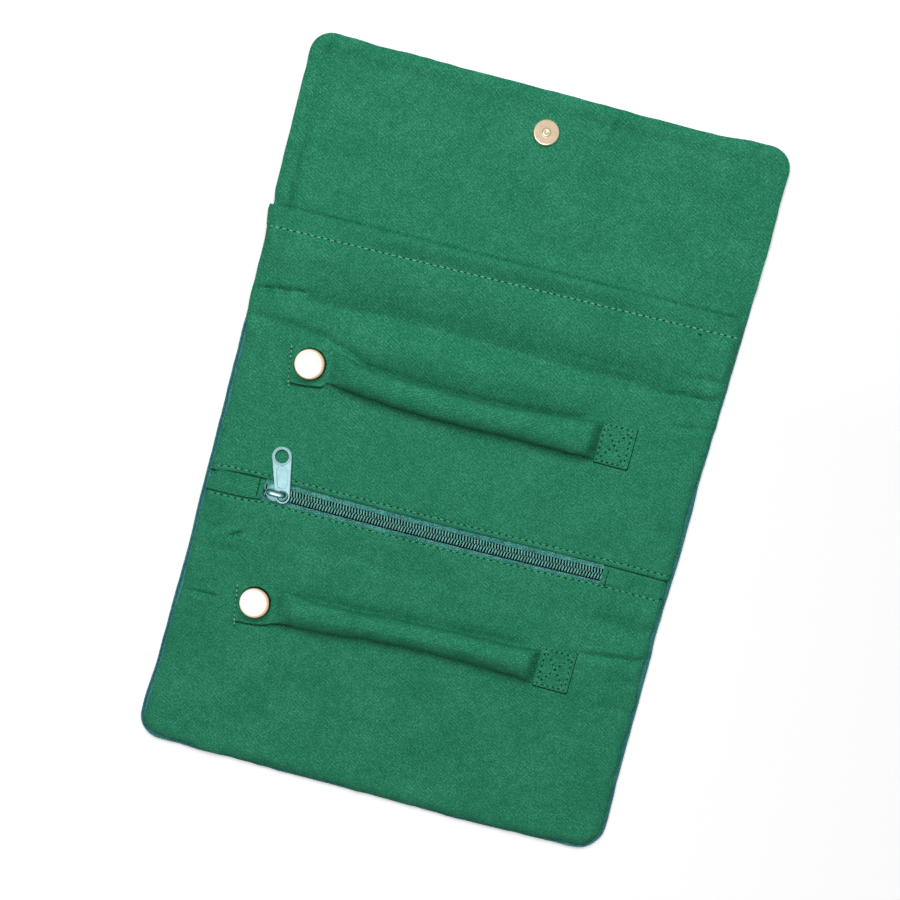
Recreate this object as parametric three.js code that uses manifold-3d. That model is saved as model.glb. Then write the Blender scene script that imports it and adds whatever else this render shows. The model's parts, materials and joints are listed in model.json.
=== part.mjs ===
// A tri-fold fabric jewellery roll, laid open on a table with its lining up.
// Millimetres: +X runs across the roll, +Y towards the flap's free edge, +Z up off the table.
// The origin is on the table, under the middle of the open roll.
// Three sections follow one another from the flap's free edge: flap, back and front.
// The front folds up over the back at the lower fold, then the flap folds down over both.
import * as THREE from "three";
import { mergeVertices } from "three/addons/utils/BufferGeometryUtils.js";
import Module from "manifold-3d";

const wasm = await Module();
wasm.setup();

// Outline of the open roll
const ROLL_WIDTH = 230;
const FLAP_LENGTH = 120;
const BACK_LENGTH = 124;
const FRONT_LENGTH = 104;
const CORNER_RADIUS = 11;
const FOLD_SLIT = 0.3;

// Cloth layers, from the table up
const COVER_THICKNESS = 0.8;
const PADDING_THICKNESS = 1.8;
const LINING_THICKNESS = 0.5;
const POCKET_SPACE = 1.4;
const PANEL_THICKNESS = 0.5;
const EDGE_WIDTH = 1.4;
const CLOTH_GAP = 0.3;

// Slip pocket: its mouth, measured down from the flap's free edge, and its hem
const POCKET_MOUTH = 84;
const HEM_DEPTH = 10;
const HEM_THICKNESS = 0.5;

// Zip across the back section, its line measured down from the upper fold
const ZIP_DROP = 96.5;
const ZIP_MARGIN_LEFT = 29.5;
const ZIP_MARGIN_RIGHT = 33.5;
const ZIP_WINDOW_ABOVE = 6;
const ZIP_WINDOW_BELOW = 5;
const TAPE_MARGIN = 20;
const TAPE_WIDTH = 13;
const TAPE_THICKNESS = 0.4;
const TAPE_SEAT = 0.2;
const TAPE_PARTING = 1.4;
const COIL_HALF_WIDTH = 2.5;
const COIL_HEIGHT = 1.1;
const COIL_PITCH = 1.25;
const COIL_TOOTH = 0.45;
const COIL_OVERLAP = 0.7;
const COIL_SPINE = 0.8;

// Zip slider and puller
const SLIDER_STANDOFF = 6.6;
const SLIDER_LENGTH = 11.5;
const SLIDER_FRONT_RADIUS = 4.4;
const SLIDER_REAR_RADIUS = 3.7;
const SLIDER_PLATE = 0.6;
const SLIDER_CLEARANCE = 0.15;
const SLIDER_POST_LENGTH = 2.6;
const SLIDER_POST_WIDTH = 1.8;
const BRIDGE_LENGTH = 8.8;
const BRIDGE_WIDTH = 2.2;
const BRIDGE_BAR = 1.4;
const BRIDGE_OPENING = 1.8;
const PULLER_LENGTH = 19.2;
const PULLER_THICKNESS = 1.1;
const PULLER_EYE_RADIUS = 3.3;
const PULLER_EYE_BORE = 2.1;
const PULLER_HEAD_RADIUS = 4.7;
const PULLER_HEAD_BORE = 3.3;
const PULLER_WAIST = 3.9;
const PULLER_YAW = 105;
const PULLER_TILT = 2;
const PULLER_LIFT = 0.25;

// Stuffed ring bars: one on the back section and one on the front section
const BAR_WIDTH = 15;
const BAR_HEIGHT = 11;
const BAR_CLOTH = 0.5;
const BAR_LIFT = 0.2;
const BAR_TAB_WIDTH = 20;
const BAR_TAB_THICKNESS = 0.8;
const BAR_TAB_REACH = 9;
const BAR_NECK = 12;
const BAR_END_DOME = 6;
const BAR_END_HEIGHT = 2;
const BAR_HINGE_GAP = 0.5;
const STITCHED_TAB_LENGTH = 17;
const BASE_TAB_REACH = 10;
const BASE_TAB_THICKNESS = 0.5;
// Margins from the side edges, drops from the fold above, and the bow of the bar's line
const UPPER_BAR = { snapMargin: 36, snapDrop: 32.5, hingeMargin: 53, hingeDrop: 33.2, bow: -3 };
const LOWER_BAR = { snapMargin: 39, snapDrop: 27, hingeMargin: 53, hingeDrop: 20.5, bow: 1.8 };

// Press snaps on the ring bars
const SNAP_CAP_RADIUS = 7.3;
const SNAP_CAP_SKIRT = 0.9;
const SNAP_CAP_DOME = 1.3;
const SNAP_FLANGE_RADIUS = 5;
const SNAP_FLANGE = 0.4;
const SNAP_SHANK_RADIUS = 1.5;
const SNAP_BALL_RADIUS = 2.2;
const SNAP_BALL_HEIGHT = 1.6;
const SNAP_SOCKET_RADIUS = 6;
const SNAP_SOCKET_ROOF = 0.4;
const SNAP_GAP = 0.15;

// Magnetic snap: a plate on the flap's lining meets a case on the front's cover
const MAGNET_X = 1;
const MAGNET_DROP = 19;
const MAGNET_RADIUS = 6;
const PLATE_THICKNESS = 2.05;
const PLATE_BOSS_RADIUS = 2.1;
const PLATE_BOSS_HEIGHT = 1.2;
const MAGNET_STEM_RADIUS = 3.5;
const MAGNET_BORE_RADIUS = 2.5;
const MAGNET_STEM_LENGTH = 1.4;
const CASE_FLANGE = 0.5;
const CASE_CLOTH = 0.3;
const WASHER_THICKNESS = 0.4;
const MAGNET_RING_WIDTH = 1.9;
const MAGNET_RING_HEIGHT = 0.7;
const PIECE_GAP = 0.2;

// Facets
const ROUND_STEPS = 24;
const CORNER_STEPS = 5;
const BAR_SIDES = 16;
const TAPER_STEPS = 5;

// Levels that the layers add up to
const paddingLow = COVER_THICKNESS;
const liningLow = paddingLow + PADDING_THICKNESS;
const liningHigh = liningLow + LINING_THICKNESS;
const panelLow = liningHigh + POCKET_SPACE;
const panelHigh = panelLow + PANEL_THICKNESS;
const tapeHigh = panelLow - TAPE_SEAT;
const tapeLow = tapeHigh - TAPE_THICKNESS;
const coilHigh = tapeHigh + COIL_HEIGHT;

// Lines across the roll
const rollTop = (FLAP_LENGTH + BACK_LENGTH + FRONT_LENGTH) / 2;
const upperFold = rollTop - FLAP_LENGTH;
const lowerFold = upperFold - BACK_LENGTH;
const rollBottom = lowerFold - FRONT_LENGTH;
const halfWidth = ROLL_WIDTH / 2;
const pocketMouth = rollTop - POCKET_MOUTH;
const zipLine = upperFold - ZIP_DROP;
const windowLeft = -halfWidth + ZIP_MARGIN_LEFT;
const windowRight = halfWidth - ZIP_MARGIN_RIGHT;
const windowTop = zipLine + ZIP_WINDOW_ABOVE;
const windowBottom = zipLine - ZIP_WINDOW_BELOW;
const sliderX = windowLeft + SLIDER_STANDOFF;
const plateY = rollTop - MAGNET_DROP;
// The case lies where the plate lands once both folds are closed.
const caseY = 2 * lowerFold - (2 * upperFold - plateY);
const bars = { upper: barPlace(UPPER_BAR, upperFold), lower: barPlace(LOWER_BAR, lowerFold) };

function barPlace({ snapMargin, snapDrop, hingeMargin, hingeDrop, bow }, fold) {
  const hingeX = halfWidth - hingeMargin;
  return { snapX: -halfWidth + snapMargin, snapY: fold - snapDrop, hingeX, hingeY: fold - hingeDrop, bow };
}

const finishes = {
  cover: { color: 0x1f5c66, roughness: 0.9, metalness: 0 },
  lining: { color: 0x2c8260, roughness: 0.9, metalness: 0 },
  padding: { color: 0xe9e6dc, roughness: 1, metalness: 0 },
  zipCloth: { color: 0x3f8d88, roughness: 0.85, metalness: 0 },
  zipCoil: { color: 0x17545a, roughness: 0.45, metalness: 0 },
  zipMetal: { color: 0x9cc9c6, roughness: 0.3, metalness: 0.35 },
  gold: { color: 0xe6c59a, roughness: 0.2, metalness: 1 },
  steel: { color: 0xb9bcbc, roughness: 0.35, metalness: 1 },
  magnet: { color: 0x3a3a3c, roughness: 0.5, metalness: 0.6 },
};

const roll = new THREE.Group();

function place(name, finish, geometry) {
  const mesh = new THREE.Mesh(geometry, new THREE.MeshStandardMaterial(finishes[finish]));
  mesh.name = name;
  roll.add(mesh);
  return mesh;
}

// Booleans

function solidOf(geometry) {
  const bare = geometry.clone();
  bare.deleteAttribute("normal");
  bare.deleteAttribute("uv");
  const merged = mergeVertices(bare, 1e-4);
  const vertProperties = merged.attributes.position.array;
  const triVerts = new Uint32Array(merged.index.array);
  return new wasm.Manifold(new wasm.Mesh({ numProp: 3, vertProperties, triVerts }));
}

function geometryOf(solid) {
  const { vertProperties, triVerts } = solid.getMesh();
  const geometry = new THREE.BufferGeometry();
  geometry.setAttribute("position", new THREE.BufferAttribute(vertProperties, 3));
  return geometry.setIndex(new THREE.BufferAttribute(triVerts, 1));
}

function cut(geometry, ...tools) {
  return geometryOf(tools.reduce((left, tool) => left.subtract(solidOf(tool)), solidOf(geometry)));
}

function join(geometry, ...others) {
  return geometryOf(others.reduce((sum, other) => sum.add(solidOf(other)), solidOf(geometry)));
}

// Plain shapes

function slab(shape, low, high) {
  const options = { depth: high - low, bevelEnabled: false, curveSegments: CORNER_STEPS };
  return new THREE.ExtrudeGeometry(shape, options).translate(0, 0, low);
}

function box(left, right, bottom, top, low, high) {
  const geometry = new THREE.BoxGeometry(right - left, top - bottom, high - low);
  return geometry.translate((left + right) / 2, (bottom + top) / 2, (low + high) / 2);
}

function cylinder(x, y, radius, low, high) {
  const geometry = new THREE.CylinderGeometry(radius, radius, high - low, ROUND_STEPS);
  return geometry.rotateX(Math.PI / 2).translate(x, y, (low + high) / 2);
}

// A turned piece about a vertical line; its profile holds [radius, height] pairs.
function turned(x, y, profile) {
  const points = profile.map(([radius, height]) => new THREE.Vector2(radius, height));
  return new THREE.LatheGeometry(points, ROUND_STEPS).rotateX(Math.PI / 2).translate(x, y, 0);
}

// A section's outline, drawn in from the cloth edge, with round corners where the roll ends.
function sectionShape(bottom, top, inset) {
  const radius = Math.max(CORNER_RADIUS - inset, 0.5);
  const right = halfWidth - inset;
  const shape = new THREE.Shape();
  const quarter = Math.PI / 2;
  if (bottom === rollBottom) {
    const low = bottom + inset;
    shape.absarc(-right + radius, low + radius, radius, 2 * quarter, 3 * quarter);
    shape.absarc(right - radius, low + radius, radius, 3 * quarter, 4 * quarter);
  } else {
    shape.moveTo(-right, bottom);
    shape.lineTo(right, bottom);
  }
  if (top === rollTop) {
    const high = top - inset;
    shape.absarc(right - radius, high - radius, radius, 0, quarter);
    shape.absarc(-right + radius, high - radius, radius, quarter, 2 * quarter);
  } else {
    shape.lineTo(right, top);
    shape.lineTo(-right, top);
  }
  shape.closePath();
  return shape;
}

const sections = {
  flap: { bottom: upperFold + FOLD_SLIT / 2, top: rollTop },
  back: { bottom: lowerFold + FOLD_SLIT / 2, top: upperFold - FOLD_SLIT / 2 },
  front: { bottom: rollBottom, top: lowerFold - FOLD_SLIT / 2 },
};

// The padded shell: a cover turned up round its edge, with padding and lining laid in it.
function addShell(name, { bottom, top }) {
  const inner = EDGE_WIDTH + CLOTH_GAP;
  // The hollow runs out past the folds, where the cover has no edge.
  const hollowBottom = bottom === rollBottom ? bottom : bottom - EDGE_WIDTH;
  const hollowTop = top === rollTop ? top : top + EDGE_WIDTH;
  let cover = cut(
    slab(sectionShape(bottom, top, 0), 0, liningHigh),
    slab(sectionShape(hollowBottom, hollowTop, EDGE_WIDTH), COVER_THICKNESS, liningHigh + EDGE_WIDTH),
  );
  let padding = slab(sectionShape(bottom, top, inner), paddingLow, liningLow);
  let lining = slab(sectionShape(bottom, top, inner), liningLow, liningHigh);
  if (name === "flap") {
    const stemHole = MAGNET_STEM_RADIUS + CLOTH_GAP;
    const washerHole = MAGNET_RADIUS + CLOTH_GAP;
    lining = cut(lining, cylinder(MAGNET_X, plateY, stemHole, 0, panelHigh));
    padding = cut(padding, cylinder(MAGNET_X, plateY, washerHole, 0, panelHigh));
  }
  if (name === "front") {
    const recess = MAGNET_RADIUS + CLOTH_GAP;
    const floor = COVER_THICKNESS - CASE_CLOTH;
    cover = cut(
      cover,
      cylinder(MAGNET_X, caseY, recess, -COVER_THICKNESS, floor),
      cylinder(MAGNET_X, caseY, MAGNET_STEM_RADIUS + CLOTH_GAP, 0, panelHigh),
    );
    padding = cut(padding, cylinder(MAGNET_X, caseY, recess, 0, panelHigh));
  }
  place(`${name}_cover`, "cover", cover);
  place(`${name}_padding`, "padding", padding);
  place(`${name}_lining`, "lining", lining);
}

// Seam strips along the cloth edge close the pockets' sides, between the lining and the panels.
function addSideSeams(name, bottom, top) {
  const outer = halfWidth;
  const inner = halfWidth - EDGE_WIDTH;
  const low = liningHigh;
  place(`${name}_seam_left`, "cover", box(-outer, -inner, bottom, top, low, panelLow));
  place(`${name}_seam_right`, "cover", box(inner, outer, bottom, top, low, panelLow));
}

function addSeams() {
  const { flap, back, front } = sections;
  const cornerEnd = rollBottom + CORNER_RADIUS;
  addSideSeams("flap", flap.bottom, pocketMouth);
  addSideSeams("back", back.bottom, back.top);
  addSideSeams("front", cornerEnd, front.top);
  const reach = halfWidth - CORNER_RADIUS;
  const strip = box(-reach, reach, rollBottom, rollBottom + EDGE_WIDTH, liningHigh, panelLow);
  place("front_seam_bottom", "cover", strip);
}

// Panels that lie over the lining: the slip pocket above the zip, the zip pocket below it.
function addPanels() {
  const { flap, back, front } = sections;
  const panel = (bottom, top) => slab(sectionShape(bottom, top, CLOTH_GAP), panelLow, panelHigh);
  const hemReach = halfWidth - EDGE_WIDTH - CLOTH_GAP;
  const hemLow = pocketMouth - HEM_DEPTH;
  const hem = box(-hemReach, hemReach, hemLow, pocketMouth, panelLow - HEM_THICKNESS, panelLow + CLOTH_GAP);
  place("slip_pocket_panel_flap", "lining", join(panel(flap.bottom, pocketMouth), hem));
  place("slip_pocket_panel_back", "lining", panel(windowTop, back.top));
  place("zip_pocket_panel_back", "lining", panel(back.bottom, windowBottom));
  place("zip_pocket_panel_front", "lining", panel(front.bottom, front.top));
}

// Zip

function addZipCloth() {
  const tapeReach = halfWidth - TAPE_MARGIN;
  const tapeInner = TAPE_PARTING;
  const tapeOuter = TAPE_PARTING + TAPE_WIDTH;
  for (const [name, side] of [["upper", 1], ["lower", -1]]) {
    const edges = [zipLine + side * tapeInner, zipLine + side * tapeOuter].sort((a, b) => a - b);
    place(`zip_tape_${name}`, "zipCloth", box(-tapeReach, tapeReach, ...edges, tapeLow, tapeHigh));
  }
  const reach = halfWidth - CLOTH_GAP;
  const bottom = windowBottom + CLOTH_GAP;
  const top = windowTop - CLOTH_GAP;
  const left = box(-reach, windowLeft, bottom, top, panelLow, panelHigh);
  const right = box(windowRight, reach, bottom, top, panelLow, panelHigh);
  place("zip_end_tab_left", "lining", left);
  place("zip_end_tab_right", "lining", right);
}

// One row of the coil: a spine sewn to the tape, with teeth that cross the zip's line.
// Left of the slider's post the rows stand apart, so there the spine has no teeth.
function coilShape(side, shift) {
  const spineOuter = side * COIL_HALF_WIDTH;
  const spineInner = side * (COIL_HALF_WIDTH - COIL_SPINE);
  const tip = -side * COIL_OVERLAP;
  const start = windowLeft + CLOTH_GAP;
  const end = windowRight - CLOTH_GAP;
  const firstTooth = sliderX;
  const count = Math.floor((end - firstTooth - COIL_PITCH) / COIL_PITCH);
  const points = [[start, spineOuter], [start, spineInner]];
  for (let tooth = 0; tooth < count; tooth += 1) {
    const x = firstTooth + shift + tooth * COIL_PITCH;
    points.push([x, spineInner], [x, tip], [x + COIL_TOOTH, tip], [x + COIL_TOOTH, spineInner]);
  }
  points.push([end, spineInner], [end, spineOuter]);
  return new THREE.Shape(points.map(([x, y]) => new THREE.Vector2(x, zipLine + y)));
}

function addZipCoils() {
  place("zip_coil_upper", "zipCoil", slab(coilShape(1, 0), tapeHigh, coilHigh));
  place("zip_coil_lower", "zipCoil", slab(coilShape(-1, COIL_PITCH / 2), tapeHigh, coilHigh));
}

const sliderLow = coilHigh + SLIDER_CLEARANCE;
const sliderHigh = sliderLow + SLIDER_PLATE;
const bridgeBarLow = sliderHigh + BRIDGE_OPENING;

function sliderPlateShape() {
  const quarter = Math.PI / 2;
  const frontX = sliderX - SLIDER_LENGTH / 2 + SLIDER_FRONT_RADIUS;
  const rearX = sliderX + SLIDER_LENGTH / 2 - SLIDER_REAR_RADIUS;
  const shape = new THREE.Shape();
  shape.absarc(rearX, zipLine, SLIDER_REAR_RADIUS, -quarter, quarter);
  shape.absarc(frontX, zipLine, SLIDER_FRONT_RADIUS, quarter, 3 * quarter);
  shape.closePath();
  return shape;
}

// The arch that holds the puller, drawn in the upright plane along the zip.
function bridgeGeometry() {
  const half = BRIDGE_LENGTH / 2;
  const leg = half - BRIDGE_BAR;
  const root = -SLIDER_PLATE / 2;
  const crown = BRIDGE_OPENING + BRIDGE_BAR;
  const shape = new THREE.Shape();
  shape.moveTo(-half, root);
  shape.lineTo(-leg, root);
  shape.lineTo(-leg, BRIDGE_OPENING);
  shape.lineTo(leg, BRIDGE_OPENING);
  shape.lineTo(leg, root);
  shape.lineTo(half, root);
  shape.lineTo(half, crown - BRIDGE_BAR);
  shape.quadraticCurveTo(half, crown, half - BRIDGE_BAR, crown);
  shape.lineTo(-half + BRIDGE_BAR, crown);
  shape.quadraticCurveTo(-half, crown, -half, crown - BRIDGE_BAR);
  shape.closePath();
  const upright = slab(shape, -BRIDGE_WIDTH / 2, BRIDGE_WIDTH / 2).rotateX(Math.PI / 2);
  return upright.translate(sliderX, zipLine, sliderHigh);
}

function addSlider() {
  const plate = sliderPlateShape();
  const clear = SLIDER_CLEARANCE;
  const plateLow = tapeLow - clear - SLIDER_PLATE;
  const channel = COIL_HALF_WIDTH + 2 * clear;
  const reach = SLIDER_LENGTH;
  const rails = cut(
    slab(plate, tapeHigh + clear, sliderLow + SLIDER_PLATE / 2),
    box(sliderX - reach, sliderX + reach, zipLine - channel, zipLine + channel, 0, sliderLow),
  );
  const postX = sliderX - SLIDER_LENGTH / 2 + SLIDER_POST_LENGTH;
  const post = new THREE.Shape();
  post.absellipse(postX, zipLine, SLIDER_POST_LENGTH / 2, SLIDER_POST_WIDTH / 2, 0, 2 * Math.PI);
  const body = join(
    slab(plate, sliderLow, sliderHigh),
    slab(plate, plateLow, plateLow + SLIDER_PLATE),
    slab(post, plateLow + SLIDER_PLATE / 2, sliderLow + SLIDER_PLATE / 2),
    rails,
    bridgeGeometry(),
  );
  place("zip_slider", "zipMetal", body);
}

// The puller lies on the slider with its eye round the bridge's rear leg.
function addPuller() {
  const quarter = Math.PI / 2;
  const shape = new THREE.Shape();
  shape.absarc(0, 0, PULLER_EYE_RADIUS, quarter, 3 * quarter);
  shape.lineTo(PULLER_EYE_RADIUS, -PULLER_WAIST);
  shape.absarc(PULLER_LENGTH, 0, PULLER_HEAD_RADIUS, -quarter, quarter);
  shape.lineTo(PULLER_EYE_RADIUS, PULLER_WAIST);
  shape.closePath();
  for (const [x, radius] of [[0, PULLER_EYE_BORE], [PULLER_LENGTH, PULLER_HEAD_BORE]]) {
    shape.holes.push(new THREE.Path().absarc(x, 0, radius, 0, 4 * quarter, true));
  }
  const puller = place("zip_puller", "zipMetal", slab(shape, 0, PULLER_THICKNESS));
  const legX = sliderX + BRIDGE_LENGTH / 2 - BRIDGE_BAR;
  puller.rotation.set(0, THREE.MathUtils.degToRad(PULLER_TILT), THREE.MathUtils.degToRad(PULLER_YAW), "ZYX");
  puller.position.set(legX, zipLine, sliderHigh + PULLER_LIFT);
}

// Ring bars

const barLow = panelHigh + BAR_LIFT;
const baseTabLow = panelHigh + SNAP_FLANGE;
const baseTabHigh = baseTabLow + BASE_TAB_THICKNESS;
const studHigh = baseTabHigh + SNAP_FLANGE + SNAP_BALL_HEIGHT;
const socketHigh = studHigh + SNAP_GAP + SNAP_SOCKET_ROOF;
const tabLow = socketHigh;
const tabHigh = tabLow + BAR_TAB_THICKNESS;

function centreY(bar, x) {
  const t = THREE.MathUtils.clamp((x - bar.snapX) / (bar.hingeX - bar.snapX), 0, 1);
  return THREE.MathUtils.lerp(bar.snapY, bar.hingeY, t) + bar.bow * 4 * t * (1 - t);
}

// Cross-sections of a bar from its flat snap tab to the blunt end at its stitched tab.
// Each has its place along X, its half width and half height, its underside and its squareness.
function barSections(bar) {
  const flat = { width: BAR_TAB_WIDTH, height: BAR_TAB_THICKNESS, low: tabLow, square: 0.3 };
  const tube = { width: BAR_WIDTH, height: BAR_HEIGHT, low: barLow, square: 0.95 };
  const blend = (a, b, t) => THREE.MathUtils.lerp(a, b, t);
  const mixed = (x, t) => ({
    x,
    width: blend(flat.width, tube.width, t),
    height: blend(flat.height, tube.height, t),
    low: blend(flat.low, tube.low, t),
    square: blend(flat.square, tube.square, t),
  });
  const tabEnd = bar.snapX + BAR_TAB_REACH;
  const found = [mixed(bar.snapX - BAR_TAB_REACH, 0), mixed(bar.snapX, 0), mixed(tabEnd, 0)];
  for (let step = 1; step <= TAPER_STEPS; step += 1) {
    const t = step / TAPER_STEPS;
    found.push(mixed(tabEnd + BAR_NECK * t, THREE.MathUtils.smoothstep(t, 0, 1)));
  }
  const end = bar.hingeX - BAR_HINGE_GAP;
  const domeStart = end - BAR_END_DOME;
  const tubeStart = tabEnd + BAR_NECK;
  for (let step = 1; step < TAPER_STEPS; step += 1) {
    found.push(mixed(blend(tubeStart, domeStart, step / TAPER_STEPS), 1));
  }
  for (let step = 0; step <= TAPER_STEPS; step += 1) {
    const t = Math.sin((step / TAPER_STEPS) * (Math.PI / 2));
    const rise = Math.sqrt(1 - t * t);
    const height = blend(BAR_END_HEIGHT, BAR_HEIGHT, rise);
    found.push({ ...tube, x: blend(domeStart, end, t), height });
  }
  return found.map((s) => ({ ...s, y: centreY(bar, s.x), middle: s.low + s.height / 2 }));
}

// A closed skin through the cross-sections, drawn in by an inset.
function loft(barSectionList, inset) {
  const positions = [];
  const triangles = [];
  const push = (x, y, z) => positions.push(x, y, z) / 3 - 1;
  const power = (value, exponent) => Math.sign(value) * Math.abs(value) ** exponent;
  const rings = barSectionList.map((s) =>
    Array.from({ length: BAR_SIDES }, (_, side) => {
      const angle = (2 * Math.PI * side) / BAR_SIDES;
      const y = s.y + (s.width / 2 - inset) * power(Math.cos(angle), s.square);
      const z = s.middle + (s.height / 2 - inset) * power(Math.sin(angle), s.square);
      return push(s.x, y, z);
    }),
  );
  const first = barSectionList[0];
  const last = barSectionList[barSectionList.length - 1];
  const firstCentre = push(first.x, first.y, first.middle);
  const lastCentre = push(last.x, last.y, last.middle);
  for (let side = 0; side < BAR_SIDES; side += 1) {
    const next = (side + 1) % BAR_SIDES;
    for (let ring = 0; ring + 1 < rings.length; ring += 1) {
      const [a, b] = [rings[ring], rings[ring + 1]];
      triangles.push(a[side], a[next], b[next], a[side], b[next], b[side]);
    }
    triangles.push(firstCentre, rings[0][next], rings[0][side]);
    const end = rings[rings.length - 1];
    triangles.push(lastCentre, end[side], end[next]);
  }
  const geometry = new THREE.BufferGeometry();
  geometry.setAttribute("position", new THREE.Float32BufferAttribute(positions, 3));
  return geometry.setIndex(triangles);
}

// The cover is a cloth tube, open at the stitched end, where its stuffing goes in.
function addBar(name, bar) {
  const all = barSections(bar);
  const roomy = all.filter((s) => s.height >= BAR_HEIGHT / 3);
  const mouth = all[all.length - 1];
  const cavity = [...roomy, mouth, { ...mouth, x: bar.hingeX + BAR_HINGE_GAP }];
  const shankHole = cylinder(bar.snapX, bar.snapY, SNAP_SHANK_RADIUS + CLOTH_GAP, panelHigh, tabHigh + 1);
  const cover = cut(loft(all, 0), loft(cavity, BAR_CLOTH), shankHole);
  place(`${name}_bar_cover`, "lining", cover);
  place(`${name}_bar_stuffing`, "padding", loft(roomy, BAR_CLOTH + CLOTH_GAP));

  const half = BAR_TAB_WIDTH / 2;
  const stitchedEnd = bar.hingeX + STITCHED_TAB_LENGTH;
  const stitchedHigh = panelHigh + BAR_TAB_THICKNESS;
  const sides = [bar.hingeY - half, bar.hingeY + half];
  const stitched = box(bar.hingeX, stitchedEnd, ...sides, panelHigh, stitchedHigh);
  place(`${name}_bar_stitched_tab`, "lining", stitched);

  const left = bar.snapX - BASE_TAB_REACH;
  const right = bar.snapX + BASE_TAB_REACH;
  const base = box(left, right, bar.snapY - half, bar.snapY + half, baseTabLow, baseTabHigh);
  const hole = cylinder(bar.snapX, bar.snapY, SNAP_SHANK_RADIUS + CLOTH_GAP, baseTabLow - 1, baseTabHigh + 1);
  place(`${name}_bar_base_tab`, "lining", cut(base, hole));
}

// Each press snap, from the panel up: post, stud, socket and domed cap.
function addSnap(name, { snapX, snapY }) {
  const shank = SNAP_SHANK_RADIUS;
  const flange = SNAP_FLANGE_RADIUS;
  const ball = SNAP_BALL_RADIUS;
  const flangeHigh = baseTabHigh + SNAP_FLANGE;
  const post = [[0, panelHigh], [flange, panelHigh], [flange, baseTabLow], [shank, baseTabLow]];
  post.push([shank, baseTabHigh], [0, baseTabHigh]);
  place(`${name}_snap_post`, "steel", turned(snapX, snapY, post));

  const waist = flangeHigh + SNAP_BALL_HEIGHT / 3;
  const stud = [[0, baseTabHigh], [flange, baseTabHigh], [flange, flangeHigh], [shank, flangeHigh]];
  stud.push([ball, waist], [ball, studHigh - SNAP_BALL_HEIGHT / 4], [shank, studHigh], [0, studHigh]);
  place(`${name}_snap_stud`, "steel", turned(snapX, snapY, stud));

  const bore = ball + SNAP_GAP;
  const outer = SNAP_SOCKET_RADIUS;
  const socketLow = flangeHigh + SNAP_GAP;
  const roofLow = socketHigh - SNAP_SOCKET_ROOF;
  const socket = [[0, roofLow], [bore, roofLow], [bore, socketLow], [outer, socketLow]];
  socket.push([outer, socketHigh], [0, socketHigh]);
  place(`${name}_snap_socket`, "steel", turned(snapX, snapY, socket));

  const skirtHigh = tabHigh + SNAP_CAP_SKIRT;
  const cap = [[0, tabLow], [shank, tabLow], [shank, tabHigh], [SNAP_CAP_RADIUS, tabHigh]];
  for (let step = 0; step < TAPER_STEPS; step += 1) {
    const angle = (step / TAPER_STEPS) * (Math.PI / 2);
    cap.push([SNAP_CAP_RADIUS * Math.cos(angle), skirtHigh + SNAP_CAP_DOME * Math.sin(angle)]);
  }
  cap.push([0, skirtHigh + SNAP_CAP_DOME]);
  place(`${name}_snap_cap`, "gold", turned(snapX, snapY, cap));
}

// Magnetic snap

// The plate clamps the flap's lining to a washer behind it.
function addMagnetPlate() {
  const radius = MAGNET_RADIUS;
  const plateHigh = liningHigh + PLATE_THICKNESS;
  const rim = PLATE_THICKNESS / 4;
  const washerHigh = liningLow;
  const washerLow = washerHigh - WASHER_THICKNESS;
  const stem = MAGNET_STEM_RADIUS - PIECE_GAP;
  const bossHigh = plateHigh + PLATE_BOSS_HEIGHT;
  const plate = [[0, washerLow], [stem, washerLow], [stem, liningHigh], [radius, liningHigh]];
  plate.push([radius, plateHigh - rim], [radius - rim, plateHigh], [PLATE_BOSS_RADIUS, plateHigh]);
  plate.push([PLATE_BOSS_RADIUS, bossHigh], [0, bossHigh]);
  place("magnet_plate", "gold", turned(MAGNET_X, plateY, plate));
  place("magnet_plate_washer", "steel", washer(plateY, washerLow, washerHigh, MAGNET_RADIUS));
}

function washer(y, low, high, outer) {
  const bore = MAGNET_STEM_RADIUS + PIECE_GAP / 2;
  return turned(MAGNET_X, y, [[bore, low], [outer, low], [outer, high], [bore, high], [bore, low]]);
}

// The case lies flush in the front's cover, with its washer and ring magnet inside the shell.
function addMagnetCase() {
  const stem = MAGNET_STEM_RADIUS - PIECE_GAP;
  const roof = CASE_FLANGE + MAGNET_STEM_LENGTH;
  const roofLow = roof - CASE_CLOTH;
  const bore = MAGNET_BORE_RADIUS;
  const shell = [[0, roofLow], [bore, roofLow], [bore, 0], [MAGNET_RADIUS, 0]];
  shell.push([MAGNET_RADIUS, CASE_FLANGE], [stem, CASE_FLANGE], [stem, roof], [0, roof]);
  place("magnet_case", "gold", turned(MAGNET_X, caseY, shell));
  const washerHigh = COVER_THICKNESS + WASHER_THICKNESS;
  place("magnet_case_washer", "steel", washer(caseY, COVER_THICKNESS, washerHigh, MAGNET_RADIUS));
  const outer = MAGNET_STEM_RADIUS + MAGNET_RING_WIDTH;
  const ringHigh = washerHigh + MAGNET_RING_HEIGHT;
  place("magnet_ring", "magnet", washer(caseY, washerHigh, ringHigh, outer));
}

for (const [name, section] of Object.entries(sections)) addShell(name, section);
addSeams();
addPanels();
addZipCloth();
addZipCoils();
addSlider();
addPuller();
for (const [name, bar] of Object.entries(bars)) {
  addBar(name, bar);
  addSnap(name, bar);
}
addMagnetPlate();
addMagnetCase();

export default roll;
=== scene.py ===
import json
import math

import bmesh
import bpy
import numpy as np
from mathutils import Matrix, Vector


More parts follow.
